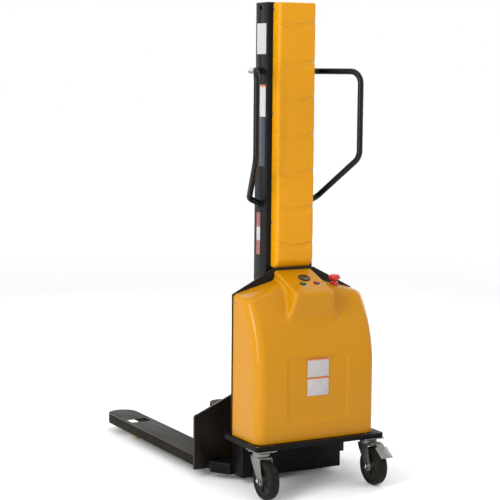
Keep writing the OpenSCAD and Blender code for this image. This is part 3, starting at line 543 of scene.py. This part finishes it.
def shell(name, field, low, high, step, cuts, holes, material):
    """A moulded shell: the field's surface, cut off by planes, opened at round holes, with a real wall."""
    points, quads = field_mesh(field, low, high, step)
    work = bmesh.new()
    verts = [work.verts.new(at(*p)) for p in points]
    for quad in quads:
        work.faces.new([verts[i] for i in quad])
    for place, normal in cuts:
        bmesh.ops.bisect_plane(work, geom=work.verts[:] + work.edges[:] + work.faces[:], plane_co=at(*place),
                               plane_no=normal, clear_outer=True, dist=1e-6)
    doomed = []
    for (x, y, z), axis, radius in holes:
        centre, axis = at(x, y, z), Vector(axis).normalized()
        for face in work.faces:
            away = face.calc_center_median() - centre
            along = away.dot(axis)
            if abs(along) < 0.03 and (away - axis * along).length < radius * MM:
                doomed.append(face)
    bmesh.ops.delete(work, geom=list(set(doomed)), context="FACES")
    loose = [v for v in work.verts if not v.link_faces]
    bmesh.ops.delete(work, geom=loose, context="VERTS")
    mesh = bpy.data.meshes.new(name)
    work.to_mesh(mesh)
    work.free()
    made = bpy.data.objects.new(name, mesh)
    bpy.context.scene.collection.objects.link(made)
    mesh.materials.append(material)
    modifier = made.modifiers.new("wall", "SOLIDIFY")
    modifier.thickness = WALL * MM
    modifier.offset = -1
    return apply_modifiers(made, 50)


HALF, LEAN_START, LEAN_RADIUS = 283.0, 274.0, 500.0
SHOULDER_SLOPE, SHOULDER_TILT, CONSOLE_SLOPE = (math.tan(math.radians(a)) for a in (14.5, 5.5, 21))
CONSOLE_TOP = DECK + 677
FRONT = 216.0


def shoulder_z(x, y):
    return DECK + (585 + (HALF + 1 - abs(x)) * SHOULDER_SLOPE) / math.cos(math.radians(5.5)) - (
        FRONT - y) * SHOULDER_TILT


def console_z(y):
    return CONSOLE_TOP - (FRONT - y) * CONSOLE_SLOPE


def housing_field(x, y, z):
    rise = z - DECK - LEAN_START
    rear = np.where(rise <= 0, -y, np.hypot(y - LEAN_RADIUS, rise) - LEAN_RADIUS)
    panel = both(np.abs(x) - 142, np.abs(z - DECK - 210) - 131, 24)
    rear = rear + 3.5 * ramp_down(panel, -3, 4)
    walls = both(np.abs(x) - HALF, rear, 42)
    top = (z - shoulder_z(x, y)) * 0.965
    body = both(walls, top, 16)
    front = 26 + np.clip(810 - z, 0, 200) * 0.2 - y
    flare = np.clip(822 - z, 0, 130) * 0.25
    console = both(both(np.abs(x) - 90 - flare, front, 18), (z - console_z(y)) * 0.934, 10)
    return either(body, console, 13)


CONSOLE_UP = (0, -math.sin(math.radians(21)), math.cos(math.radians(21)))
GAUGE, BUTTONS, ESTOP = (10, 142), ((-20, 98), (45, 98)), (163, 150)
ESTOP_Z = shoulder_z(*ESTOP)
housing = shell(
    "housing_shell", housing_field, (-290, -8, DECK - 10), (290, 226, CONSOLE_TOP + 8), 4.0,
    [((0, FRONT - GAP, 0), (0, 1, 0)), ((0, 0, DECK + GAP), (0, 0, -1))],
    [((GAUGE[0], GAUGE[1], console_z(GAUGE[1])), CONSOLE_UP, 20)]
    + [((x, y, console_z(y)), CONSOLE_UP, 10.5) for x, y in BUTTONS]
    + [((*ESTOP, ESTOP_Z), (0, 0, 1), 12.5)],
    MATERIALS["housing_yellow"])
stand(housing, "chassis", "housing_yellow", "housing")

GROOVES = (1922, 1763, 1612, 1460, 1310, 1161, 1008)
MAST_REAR, COVER_REAR = 251.0, 198.0


def cover_field(x, y, z):
    groove = np.zeros_like(x)
    for height in GROOVES:
        middle = height - 20 * (1 - (np.clip(x, -88, 88) / 88) ** 2)
        groove = groove + 4.0 * ramp_down(np.abs(z - middle), 9, 15)
    rear = both(COVER_REAR + groove - y, COVER_BOTTOM - z, 44)
    return both(both(np.abs(x) - 88 + 0.6 * groove * ramp_down(y, 216, 244), rear, 13), z - COVER_TOP, 9)


cover = shell(
    "mast_cover_shell", cover_field, (-94, 190, COVER_BOTTOM - 6), (94, 262, COVER_TOP + 6), 3.2,
    [((0, MAST_REAR - GAP, 0), (0, 1, 0))], [], MATERIALS["cover_yellow"])
stand(cover, "chassis", "cover_yellow", "mast_cover")


def slab(outline, low, high):
    """An outline of (y, z) pairs in truck millimetres, drawn out along X."""
    n = len(outline)
    points = [at(x, y, z) for x in (low, high) for y, z in outline]
    sides = [[k, (k + 1) % n, n + (k + 1) % n, n + k] for k in range(n)]
    return points, [list(range(n))[::-1], list(range(n, 2 * n))] + sides


# Soft strip that closes the gap between the foot of the cover and the backplate
SEAL = [(223, -13), (250, -13), (250, -0.5), (228.5, -0.5), (228.5, 1.4), (223, 1.4)]
seal = outward(new_object("cover_seal", *slab([(y, COVER_BOTTOM + z) for y, z in SEAL], -84, 84),
                          MATERIALS["hose_rubber"]))
stand(bevel(seal, 0.4), "chassis", "hose_rubber")


# ---- steel frame, legs, carriage and forks ----

for node, width in {
    "deck_plate": 2.2, "base_riser": 1.2, "leg_crossbeam": 1.6, "leg_left": 1.6, "leg_right": 1.6,
    "mast_channel_left": 1.8, "mast_channel_right": 1.8, "mast_ties": 1.2, "backplate": 0.9,
    "carriage_plate": 1.8, "guide_posts": 1.4, "carriage_crossbar": 1.4, "crosshead": 1.2,
    "fork_left": 1.3, "fork_right": 1.3, "load_axles": 1.2, "roller_stubs": 1.0, "cylinder_barrel": 1.2,
    "cylinder_rod": 0.8, "rear_chain_anchors": 1.2, "pressure_hose": 0, "batteries": 3.0,
    "equipment_shelf": 0.8, "pump_motor": 3.0, "reservoir": 2.5, "controller": 1.0, "caster_plates": 1.2,
    "caster_bolts": 0.8, "caster_fork_left": 1.0, "caster_fork_right": 1.0, "brake_pedal": 1.2,
}.items():
    refined(node, width)


def bead(name, line, radius, body, slot):
    """A weld bead: a lumpy round seam along a line."""
    waves = [1 + 0.16 * math.sin(2.1 * k) + 0.08 * math.sin(5.3 * k + 1) for k in range(len(line))]
    made = new_object(name, *swept(line, [radius * w for w in waves], 10), MATERIALS[slot], 180)
    return stand(outward(made), body, slot)


# ---- handles ----

HANDLE_R = 12.5
WEB_X, TUBE_Y, HIGH_Z, LOW_Z = 112, 302, 1720, 1165  # where a tube meets the mast's web
ROUTE = [(WEB_X, TUBE_Y, HIGH_Z), (166, TUBE_Y, HIGH_Z), (246, 100, HIGH_Z), (246, 100, 1365),
         (166, TUBE_Y, 1191), (WEB_X, TUBE_Y, LOW_Z)]
BENDS = (28, 50, 60, 28)
SUNK, WELD_OFF, WELD_R, WELD_THICK = 4, 1.2, 14.2, 2.6
for side, label in ((-1, "left"), (1, "right")):
    line = [Vector((side * q.x, q.y, q.z)) for q in bent(ROUTE, BENDS, 14)]
    line[0].x -= side * SUNK
    line[-1] += (line[-1] - line[-2]).normalized() * SUNK
    tube = swept(line, [HANDLE_R] * len(line), 32)
    made = outward(new_object("handle_tube_" + label, *tube, MATERIALS["handle_black"], 40))
    stand(made, "chassis", "handle_black", "handle_" + label)
    for z, tall, end in ((HIGH_Z, 1.0, "top"), (LOW_Z, 1.11, "low")):
        turns = [2 * math.pi * k / 40 for k in range(41)]
        ring = [Vector((side * (WEB_X + WELD_OFF), TUBE_Y + WELD_R * math.cos(a),
                        z + WELD_R * tall * math.sin(a))) for a in turns]
        bead(f"handle_weld_{label}_{end}", ring, WELD_THICK, "chassis", "handle_black")


# ---- casters ----

def ring_profile(points, corner, steps=5):
    """Rounds the inner points of a (radius, along) profile."""
    p = [Vector((a, b, 0)) for a, b in points]
    out = [p[0]]
    for i in range(1, len(p) - 1):
        a, b = (p[i - 1] - p[i]), (p[i + 1] - p[i])
        reach = min(corner, a.length * 0.45, b.length * 0.45)
        start, end = p[i] + a.normalized() * reach, p[i] + b.normalized() * reach
        for k in range(steps + 1):
            t = k / steps
            out.append(start * (1 - t) ** 2 + p[i] * 2 * t * (1 - t) + end * t * t)
    out.append(p[-1])
    return [(q.x, q.y) for q in out]


WHEEL_R, AXLE_R = 80.0, 6.05
CASTER_X, SWIVEL_Y, WHEEL_Y = 258, 12, -31
NUT_X, WASHER_X, RACE_Z = 38, 30.2, 162.0  # out from the wheel's middle, and up from the floor
HALF_TREAD = [(58.2, -17.5), (63, -20.5), (66, -21.6), (67, -20.9), (69.5, -21.4), (74, -20.2), (77.4, -16.6),
              (79.2, -12), (79.9, -6), (79.4, -5.2), (79.4, -4.2), (80, -3.4)]
HALF_RIM = [(AXLE_R, -24), (15, -24), (20.5, -21), (23, -10), (26, -8), (44, -7), (48, -10), (51, -17.5),
            (57.8, -17.5)]
RACE = [(20, 5), (33.5, 5), (36, 12), (36, 22), (31, 27.5), (20, 28.5)]
HEAD = [(0, 0.3), (9.2, 0.3), (9.2, 5.5), (7.6, 6.8), (0, 6.8)]
WASHER = [(6, 0), (12.5, 0), (12.5, 1.6), (6, 1.6)]
RIBS, RIB_HALF = 6, 2.6


def mirrored(half):
    """A closed wheel profile from its half on one side."""
    return half + [(radius, -along) for radius, along in reversed(half)] + half[:1]


for side, label in ((-1, "left"), (1, "right")):
    x = side * CASTER_X
    centre = at(x, WHEEL_Y, WHEEL_R)
    tyre = new_object("tyre_" + label + "_ring", *lathe(mirrored(HALF_TREAD), centre, sides=96),
                      MATERIALS["tyre_rubber"], 40)
    stand(outward(tyre), "wheel_" + label, "tyre_rubber", "tyre_" + label)
    parts = [lathe(ring_profile(mirrored(HALF_RIM), 1.6, 3), centre, sides=72)]
    for k in range(RIBS):
        spin = Matrix.Rotation(math.radians(360 / RIBS * k + 15), 4, "X")
        turn = Matrix.Translation(centre) @ spin @ Matrix.Translation(-centre)
        for low, high in ((-14.0, -7.0), (7.0, 14.0)):
            parts.append(moved(block((x + low, WHEEL_Y - RIB_HALF, WHEEL_R + 21.5),
                                     (x + high, WHEEL_Y + RIB_HALF, WHEEL_R + 50)), turn))
    hub = outward(new_object("hub_" + label + "_spoked", *joined(*parts), MATERIALS["hub_grey"]))
    stand(hub, "wheel_" + label, "hub_grey", "wheel_hub_" + label)
    parts = []
    for face in (-1, 1):
        out = ((0, 1, 0), (0, 0, 1), (face, 0, 0))
        parts.append(lathe(ring_profile(HEAD, 0.6, 2), at(x + face * NUT_X, WHEEL_Y, WHEEL_R), out, sides=6))
        parts.append(lathe(WASHER, at(x + face * WASHER_X, WHEEL_Y, WHEEL_R), out, sides=40))
    nuts = outward(new_object("axle_nuts_" + label, *joined(*parts), MATERIALS["bright_steel"], 30))
    stand(nuts, "caster_" + label, "zinc")
    race = lathe(ring_profile(RACE, 2.5, 4), at(x, SWIVEL_Y, RACE_Z), ALONG_Z, 72)
    crown = outward(new_object("swivel_race_" + label, *race, MATERIALS["zinc"], 50))
    stand(crown, "caster_" + label, "zinc")


# ---- rollers, sheaves and chains ----

def turned(name, node, half, bore):
    """A roller turned from half a profile, in the place and size of its CAD node."""
    low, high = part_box(node)
    centre, width = (low + high) / 2, (high.x - low.x) / 2 / MM
    radius = (high.y - low.y) / 2 / MM
    profile = [(bore, -width)] + [(radius + r if r <= 0 else r, -width + w) for r, w in half]
    profile = ring_profile(mirrored(profile), 1.2, 3)
    made = outward(new_object(name, *lathe(profile, centre, sides=72), MATERIALS[SLOT_OF[node]]))
    return stand(made, BODY_OF[node], SLOT_OF[node], node)


# (radius, in from the side) pairs; a radius of zero or less is counted in from the rim
GUIDE_ROLLER = [(24, 0), (24, 2), (-9, 2), (-9, 0), (-1, 0), (0, 3)]
LOAD_ROLLER = [(18, 0), (18, 2.5), (25, 2.5), (25, 0), (-3, 0), (0, 4)]
for label in ("left", "right"):
    for level in ("upper", "lower"):
        node = f"guide_roller_{level}_{label}"
        turned(node + "_race", node, GUIDE_ROLLER, 15.05)
    node = "load_roller_" + label
    turned(node + "_wheel", node, LOAD_ROLLER, 10.05)

SHEAVE_Z, SHEAVE_Y, PITCH_R, CHAIN_X = 1150.0, 298.0, 36.0, 38.0
HALF_SHEAVE = [(10.05, -6.5), (15, -6.5), (17, -4), (25, -4), (27, -6.5), (31, -6.5), (30.2, -5.5)]
sheaves = [lathe(ring_profile(mirrored(HALF_SHEAVE), 0.6, 2), at(s * CHAIN_X, SHEAVE_Y, SHEAVE_Z))
           for s in (-1, 1)]
made = outward(new_object("chain_sheaves_turned", *joined(*sheaves), MATERIALS[SLOT_OF["chain_sheaves"]]))
stand(made, BODY_OF["chain_sheaves"], SLOT_OF["chain_sheaves"], "chain_sheaves")

PITCH = 16.0  # between the pins of the chain
PLATE_END, PLATE_WAIST, PLATE_THICK = 4.4, 3.4, 1.9


def link_plate(x):
    """One leaf-chain plate, its long way along Z, centred on the origin."""
    half = [math.pi * k / 6 for k in range(7)]
    ring = [(PLATE_END * math.cos(a), PITCH / 2 + PLATE_END * math.sin(a)) for a in half]
    ring.append((-PLATE_WAIST, 0))
    ring += [(-y, -z) for y, z in ring]
    n = len(ring)
    points = [Vector((x + s * PLATE_THICK / 2, y, z)) * MM for s in (-1, 1) for y, z in ring]
    faces = [list(range(n))[::-1], list(range(n, 2 * n))]
    faces += [[k, (k + 1) % n, n + (k + 1) % n, n + k] for k in range(n)]
    return points, faces


def leaf_chain(name, node, places):
    """Both chains of a run; places are (truck point without x, turn about X in radians) for each link."""
    parts = []
    for s in (-1, 1):
        for k, (y, z, turn) in enumerate(places):
            rows = (-4.2, 0.0, 4.2) if k % 2 else (-2.1, 2.1)
            spot = Matrix.Translation(at(s * CHAIN_X, y, z)) @ Matrix.Rotation(turn, 4, "X")
            parts += [moved(link_plate(x), spot) for x in rows]
            pin = lathe([(0, -5.4), (2.2, -5.4), (2.2, 5.4), (0, 5.4)], Vector(), sides=10)
            parts.append(moved(pin, spot @ Matrix.Translation((0, 0, PITCH / 2 * MM))))
    made = outward(new_object(name, *joined(*parts), MATERIALS[SLOT_OF[node]], 30))
    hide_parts(node)
    return made


def run_places(y, low, high):
    """Links of a straight run, close to the chain's pitch."""
    count = round((high - low) / PITCH)
    pitch = (high - low) / count
    return [(y, low + pitch * (k + 0.5), 0.0) for k in range(count)]


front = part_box("chain_front")
made = leaf_chain("chain_front_links", "chain_front",
                  run_places(SHEAVE_Y + PITCH_R, front[0].z / MM, SHEAVE_Z))
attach(made, BODY_OF["chain_front"])
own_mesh(made)
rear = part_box("chain_rear")
made = leaf_chain("chain_rear_links", "chain_rear",
                  run_places(SHEAVE_Y - PITCH_R, rear[0].z / MM, SHEAVE_Z))
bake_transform(made)
WRAP_LINKS = 7
arc = [(k + 0.5) / WRAP_LINKS * math.pi for k in range(WRAP_LINKS)]
made = leaf_chain("chain_wrap_links", "chain_wrap", [
    (SHEAVE_Y + PITCH_R * math.cos(a), SHEAVE_Z + PITCH_R * math.sin(a), a) for a in arc])
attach(made, BODY_OF["chain_wrap"])


# ---- controls ----

def console_axes(x, y):
    """A place on the console, and its directions across, up the slope and out."""
    up = Vector(CONSOLE_UP)
    return at(x, y, console_z(y)), (Vector((1, 0, 0)), up.cross(Vector((1, 0, 0))), up)


centre, axes = console_axes(*GAUGE)
BEZEL = [(20.4, -16), (20.4, 3.4), (21.2, 4.8), (24.2, 5.0), (25, 3.6), (25, 0.2), (22, 0.1), (22, -16)]
bezel = lathe(ring_profile(BEZEL, 0.7, 3), centre, axes, 72)
made = outward(new_object("gauge_bezel", *bezel, MATERIALS["black_plastic"]))
stand(made, "chassis", "black_plastic", "gauge")


def on_panel(points, spot, axes):
    """Points (across, up the slope, above it) in mm on the console."""
    return [spot + (axes[0] * a + axes[1] * b + axes[2] * c) * MM for a, b, c in points]


def plate_on_panel(spot, axes, low, high, bottom, top):
    """A small flat block on the console."""
    p = [(x, y, z) for x in (low[0], high[0]) for y in (low[1], high[1]) for z in (bottom, top)]
    return on_panel(p, spot, axes), [[0, 1, 3, 2], [4, 6, 7, 5], [0, 4, 5, 1], [2, 3, 7, 6], [0, 2, 6, 4],
                                     [1, 5, 7, 3]]


dial = painted("dial_face", (0.010, 0.011, 0.012), (0.35, 0.5), cloud=0.1)
ticks = painted("dial_marks", (0.22, 0.23, 0.22), (0.3, 0.4), cloud=0.05)
lamps = painted("dial_lamps", (0.02, 0.16, 0.05), (0.25, 0.35), coat=0.3, cloud=0.05)
DIAL_TOP, MARK_TOP = 0.9, 1.3
disc = lathe([(0, DIAL_TOP), (20.2, DIAL_TOP), (20.2, 0.2), (0, 0.2)], centre, axes, 64)
disc = outward(new_object("gauge_dial", *disc, dial))
stand(disc, "chassis", "black_plastic")
marks = []
for k in range(11):
    a = math.radians(210 - 24 * k)
    c, s = math.cos(a), math.sin(a)
    inner, wide = (13.2, 0.75) if k % 5 == 0 else (15, 0.45)
    corners = ((inner, -wide), (18, -wide), (18, wide), (inner, wide))
    ring = [(c * r - s * w, s * r + c * w) for r, w in corners]
    base = [(x, y, h) for h in (DIAL_TOP, MARK_TOP) for x, y in ring]
    marks.append((on_panel(base, centre, axes), [[3, 2, 1, 0], [4, 5, 6, 7], [0, 1, 5, 4], [1, 2, 6, 5],
                                                 [2, 3, 7, 6], [3, 0, 4, 7]]))
marks.append(plate_on_panel(centre, axes, (-7, -9.5), (7, -5.5), DIAL_TOP, MARK_TOP))
made = outward(new_object("gauge_marks", *joined(*marks), ticks, 30))
stand(made, "chassis", "label_film")
lit = [plate_on_panel(centre, axes, (-8 + 3.4 * k, -1.4), (-5.6 + 3.4 * k, 1.8), DIAL_TOP, 1.5)
       for k in range(5)]
made = outward(new_object("gauge_lamps", *joined(*lit), lamps, 30))
stand(made, "chassis", "green_plastic")

n = Nodes("gauge_glass")
n.put("Base Color", (0.9, 0.95, 0.95, 1))
n.put("Transmission Weight", 1.0)
n.put("Specular IOR Level", 0.12)
n.put("IOR", 1.3)
n.put("Roughness", n.span(n.noise(30, 3), 0.3, 0.7, 0.02, 0.06))
n.bump((n.noise(60, 2), 0.00001))
GLASS = [(0, 2.4), (14, 2.3), (20.3, 1.9), (20.3, 3.2), (14, 4.0), (0, 4.4)]
made = outward(new_object("gauge_glass", *lathe(GLASS, centre, axes, 64), n.material, 60))
stand(made, "chassis", "lens", "gauge_lens")

BUTTON_COLLAR = [(8.1, -15), (8.1, 2.2), (9, 3), (12, 3), (13.6, 1.6), (13.6, 0.1), (9.5, 0.05),
                 (9.5, -15)]
BUTTON = [(0, -4), (7.95, -4), (7.95, 5.8), (7.2, 6.8), (4.6, 6.6), (0, 6.0)]
collars = []
for x, y in BUTTONS:
    spot, axes = console_axes(x, y)
    collars.append(lathe(ring_profile(BUTTON_COLLAR, 0.6, 3), spot, axes, 48))
made = outward(new_object("button_collars", *joined(*collars), MATERIALS["black_plastic"]))
stand(made, "chassis", "black_plastic", "control_collars")
for (x, y), node in zip(BUTTONS, ("button_raise", "button_lower")):
    spot, axes = console_axes(x, y)
    cap = lathe(ring_profile(BUTTON, 0.7, 4), spot, axes, 48)
    made = outward(new_object(node + "_cap", *cap, MATERIALS[SLOT_OF[node]]))
    stand(made, BODY_OF[node], SLOT_OF[node], node)
film = label_material("panel_film", 0, -1, 2, [(0.0, (0.33, 0.31, 0.27))])
for (x, y), name in zip(BUTTONS, ("raise", "lower")):
    spot, axes = console_axes(x, y)
    p, f = plate_on_panel(spot, axes, (-12, -23.5), (12, -16), 0.15, 0.8)
    made = bevel(outward(new_object(f"button_{name}_plate", p, f, film)), 0.25)
    stand(made, "chassis", "label_film")

ESTOP_COLLAR = [(7.1, -15), (7.1, 13.6), (9, 14), (15, 13.4), (16, 11), (16, 4.6), (14.5, -2.5),
                  (10.5, -4.5), (10.5, -21)]
collar = lathe(ring_profile(ESTOP_COLLAR, 1.2, 4), at(*ESTOP, ESTOP_Z), ALONG_Z, 64)
made = outward(new_object("estop_collar_ring", *collar, MATERIALS["red_plastic"]))
stand(made, BODY_OF["estop_collar"], "red_plastic", "estop_collar")
refined("estop_stem", 0.5)

# The cap: a skirt with shallow finger grips under a domed top with a dished middle
CAP_R, DOME_R, DOME_Z = 25, 9, 11
profile = [(7.05, 10), (7.05, 0), (19.5, 0), (23.5, 1.2), (CAP_R, 4), (CAP_R, DOME_Z)]
profile += [(CAP_R - DOME_R + DOME_R * math.cos(a), DOME_Z + DOME_R * math.sin(a))
            for a in (math.pi / 2 * k / 8 for k in range(1, 9))]
profile += [(13, 20.3), (11.5, 19.6), (0, 19.4)]
base_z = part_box("estop_cap")[0].z / MM
points, faces = lathe(profile, at(*ESTOP, base_z), ALONG_Z, 96)
spot = at(*ESTOP, 0)
GRIPS, GRIP_DEPTH = 24, 0.0005
for p in points:
    away = Vector((p.x - spot.x, p.y - spot.y, 0))
    height = p.z / MM - base_z
    if away.length > 0.0238 and 3 < height < 13:
        turn = math.atan2(away.y, away.x)
        p -= away.normalized() * GRIP_DEPTH * max(0, math.cos(GRIPS * turn)) ** 2
made = outward(new_object("estop_mushroom", points, faces, MATERIALS["red_plastic"], 40))
stand(made, BODY_OF["estop_cap"], SLOT_OF["estop_cap"], "estop_cap")


# ---- screws and labels ----

PAN_HEAD = [(1, 0.45), (0.86, 0.85), (0.5, 1), (0.46, 1), (0.44, 0.4), (0, 0.35)]  # shares of radius, height


def screw(spot, direction, radius, height):
    """A pan head with a socket."""
    w = Vector(direction)
    u = Vector((0, 1, 0))
    v = w.cross(u)
    profile = [(radius, -0.2)] + [(radius * r, height * h) for r, h in PAN_HEAD]
    return lathe(profile, spot, (u, v, w), 28)


for node in ("cover_screws", "housing_screws"):
    work = bmesh.new()
    work.from_mesh(frame["nodes"][node].data)
    bmesh.ops.remove_doubles(work, verts=work.verts, dist=WELD)
    heads, left = [], set(work.verts)
    while left:
        island, queue = [], [next(iter(left))]
        left.discard(queue[0])
        while queue:
            v = queue.pop()
            island.append(v.co.copy())
            for e in v.link_edges:
                o = e.other_vert(v)
                if o in left:
                    left.discard(o)
                    queue.append(o)
        low = Vector([min(p[a] for p in island) for a in range(3)])
        high = Vector([max(p[a] for p in island) for a in range(3)])
        side = 1 if low.x > 0 else -1
        spot = (low + high) / 2
        spot.x = low.x if side > 0 else high.x
        heads.append((spot, side))
    work.free()
    heads.sort(key=lambda h: (h[1], h[0].z))
    parts = [screw(spot, (side, 0, 0), 4.6, 3.0) for spot, side in heads]
    made = outward(new_object(node + "_pan", *joined(*parts), MATERIALS["bright_steel"], 30))
    stand(made, "chassis", SLOT_OF[node], node)

WHITE, GREY, ORANGE = (0.44, 0.44, 0.435), (0.40, 0.37, 0.365), (0.55, 0.13, 0.04)
BLUE, RED = (0.006, 0.013, 0.028), (0.30, 0.045, 0.04)
REAR_LABELS = [(DECK + 181, 74), (DECK + 259, 74)]
for k, (z, h) in enumerate(REAR_LABELS):
    material = label_material(f"rear_label_{k}", 2, z * MM, h * MM, [(0, GREY), (0.93, ORANGE)], 0.35)
    p, f = block((-51, 1.0, z), (51, 2.0, z + h))
    made = bevel(outward(new_object(f"rear_label_{k}", p, f, material)), 0.3)
    stand(made, "chassis", "label_film", "labels")
for k, (y, z, wide, tall, bands, lines) in enumerate([
        (266, 1788, 76, 126, [(0, WHITE)], 0.4), (266, 1530, 48, 132, [(0, WHITE), (0.93, ORANGE)], 0.35),
        (267, 1324, 48, 205, [(0, BLUE)], 0.0),
        (302, 952, 30, 177, [(0, RED), (0.34, WHITE), (0.66, RED)], 0.75)]):
    material = label_material(f"mast_label_{k}", 2, z * MM, tall * MM, bands, lines)
    p, f = block((-112.8, y, z), (-111.9, y + wide, z + tall))
    made = bevel(outward(new_object(f"mast_label_{k}", p, f, material)), 0.3)
    stand(made, "chassis", "label_film", "labels")


# ---- floor and light ----

SKY = 1.0  # brightness of the studio all round
FLOOR_HALF, FLOOR_Z = 30, -0.0006


def floor():
    n = Nodes("floor")
    tone = n.span(n.noise(1.5, 3), 0.3, 0.7)
    n.put("Roughness", 0.9)
    n.put("Specular IOR Level", 0.1)
    n.bump((n.noise(120, 3), 0.00004))
    n.put("Emission Color", (1, 1, 1, 1))
    away = n.add("ShaderNodeVectorMath", {0: n.place}, operation="LENGTH").outputs["Value"]
    far = n.span(away, 3.0, 9.0)
    n.put("Emission Strength", n.times(far, SKY))
    n.put("Base Color", n.mix(far, n.mix(tone, (0.86, 0.86, 0.86), (0.9, 0.9, 0.9)), (0, 0, 0)))
    corners = [(x * FLOOR_HALF, y * FLOOR_HALF, FLOOR_Z) for x, y in ((-1, -1), (1, -1), (1, 1), (-1, 1))]
    made = new_object("floor", corners, [(0, 1, 2, 3)], n.material)


def area(name, place, target, size, energy, color=(1, 1, 1)):
    data = bpy.data.lights.new(name, "AREA")
    data.shape = "RECTANGLE"
    data.size, data.size_y = size
    data.energy = energy
    data.color = color
    made = bpy.data.objects.new(name, data)
    bpy.context.scene.collection.objects.link(made)
    made.location = place
    made.rotation_euler = (Vector(target) - Vector(place)).to_track_quat("-Z", "Y").to_euler()


floor()
area("key", (-3.4, -1.6, 2.6), (0, -0.4, 0.8), (1.6, 2.0), 62)
area("strip_a", (-3.0, -2.1, 1.5), (0, -0.5, 0.9), (0.12, 2.2), 22)
area("strip_b", (-3.0, -1.5, 1.5), (0, -0.5, 0.9), (0.12, 2.2), 22)
area("top", (0.2, -0.6, 4.6), (0, -0.2, 0), (2.4, 2.4), 24)
area("fill", (3.2, -3.0, 2.2), (0, -0.4, 0.9), (1.6, 2.0), 6)
area("right", (3.6, 0.4, 2.2), (0, 0.0, 0.9), (1.6, 2.0), 34)
area("front", (0.8, 4.4, 2.4), (0, 0.0, 0.8), (2.4, 2.0), 40)
world = bpy.data.worlds.new("studio")
world.use_nodes = True
world.node_tree.nodes["Background"].inputs["Color"].default_value = (1, 1, 1, 1)
world.node_tree.nodes["Background"].inputs["Strength"].default_value = SKY
bpy.context.scene.world = world
bpy.context.scene.view_settings.view_transform = "Standard"
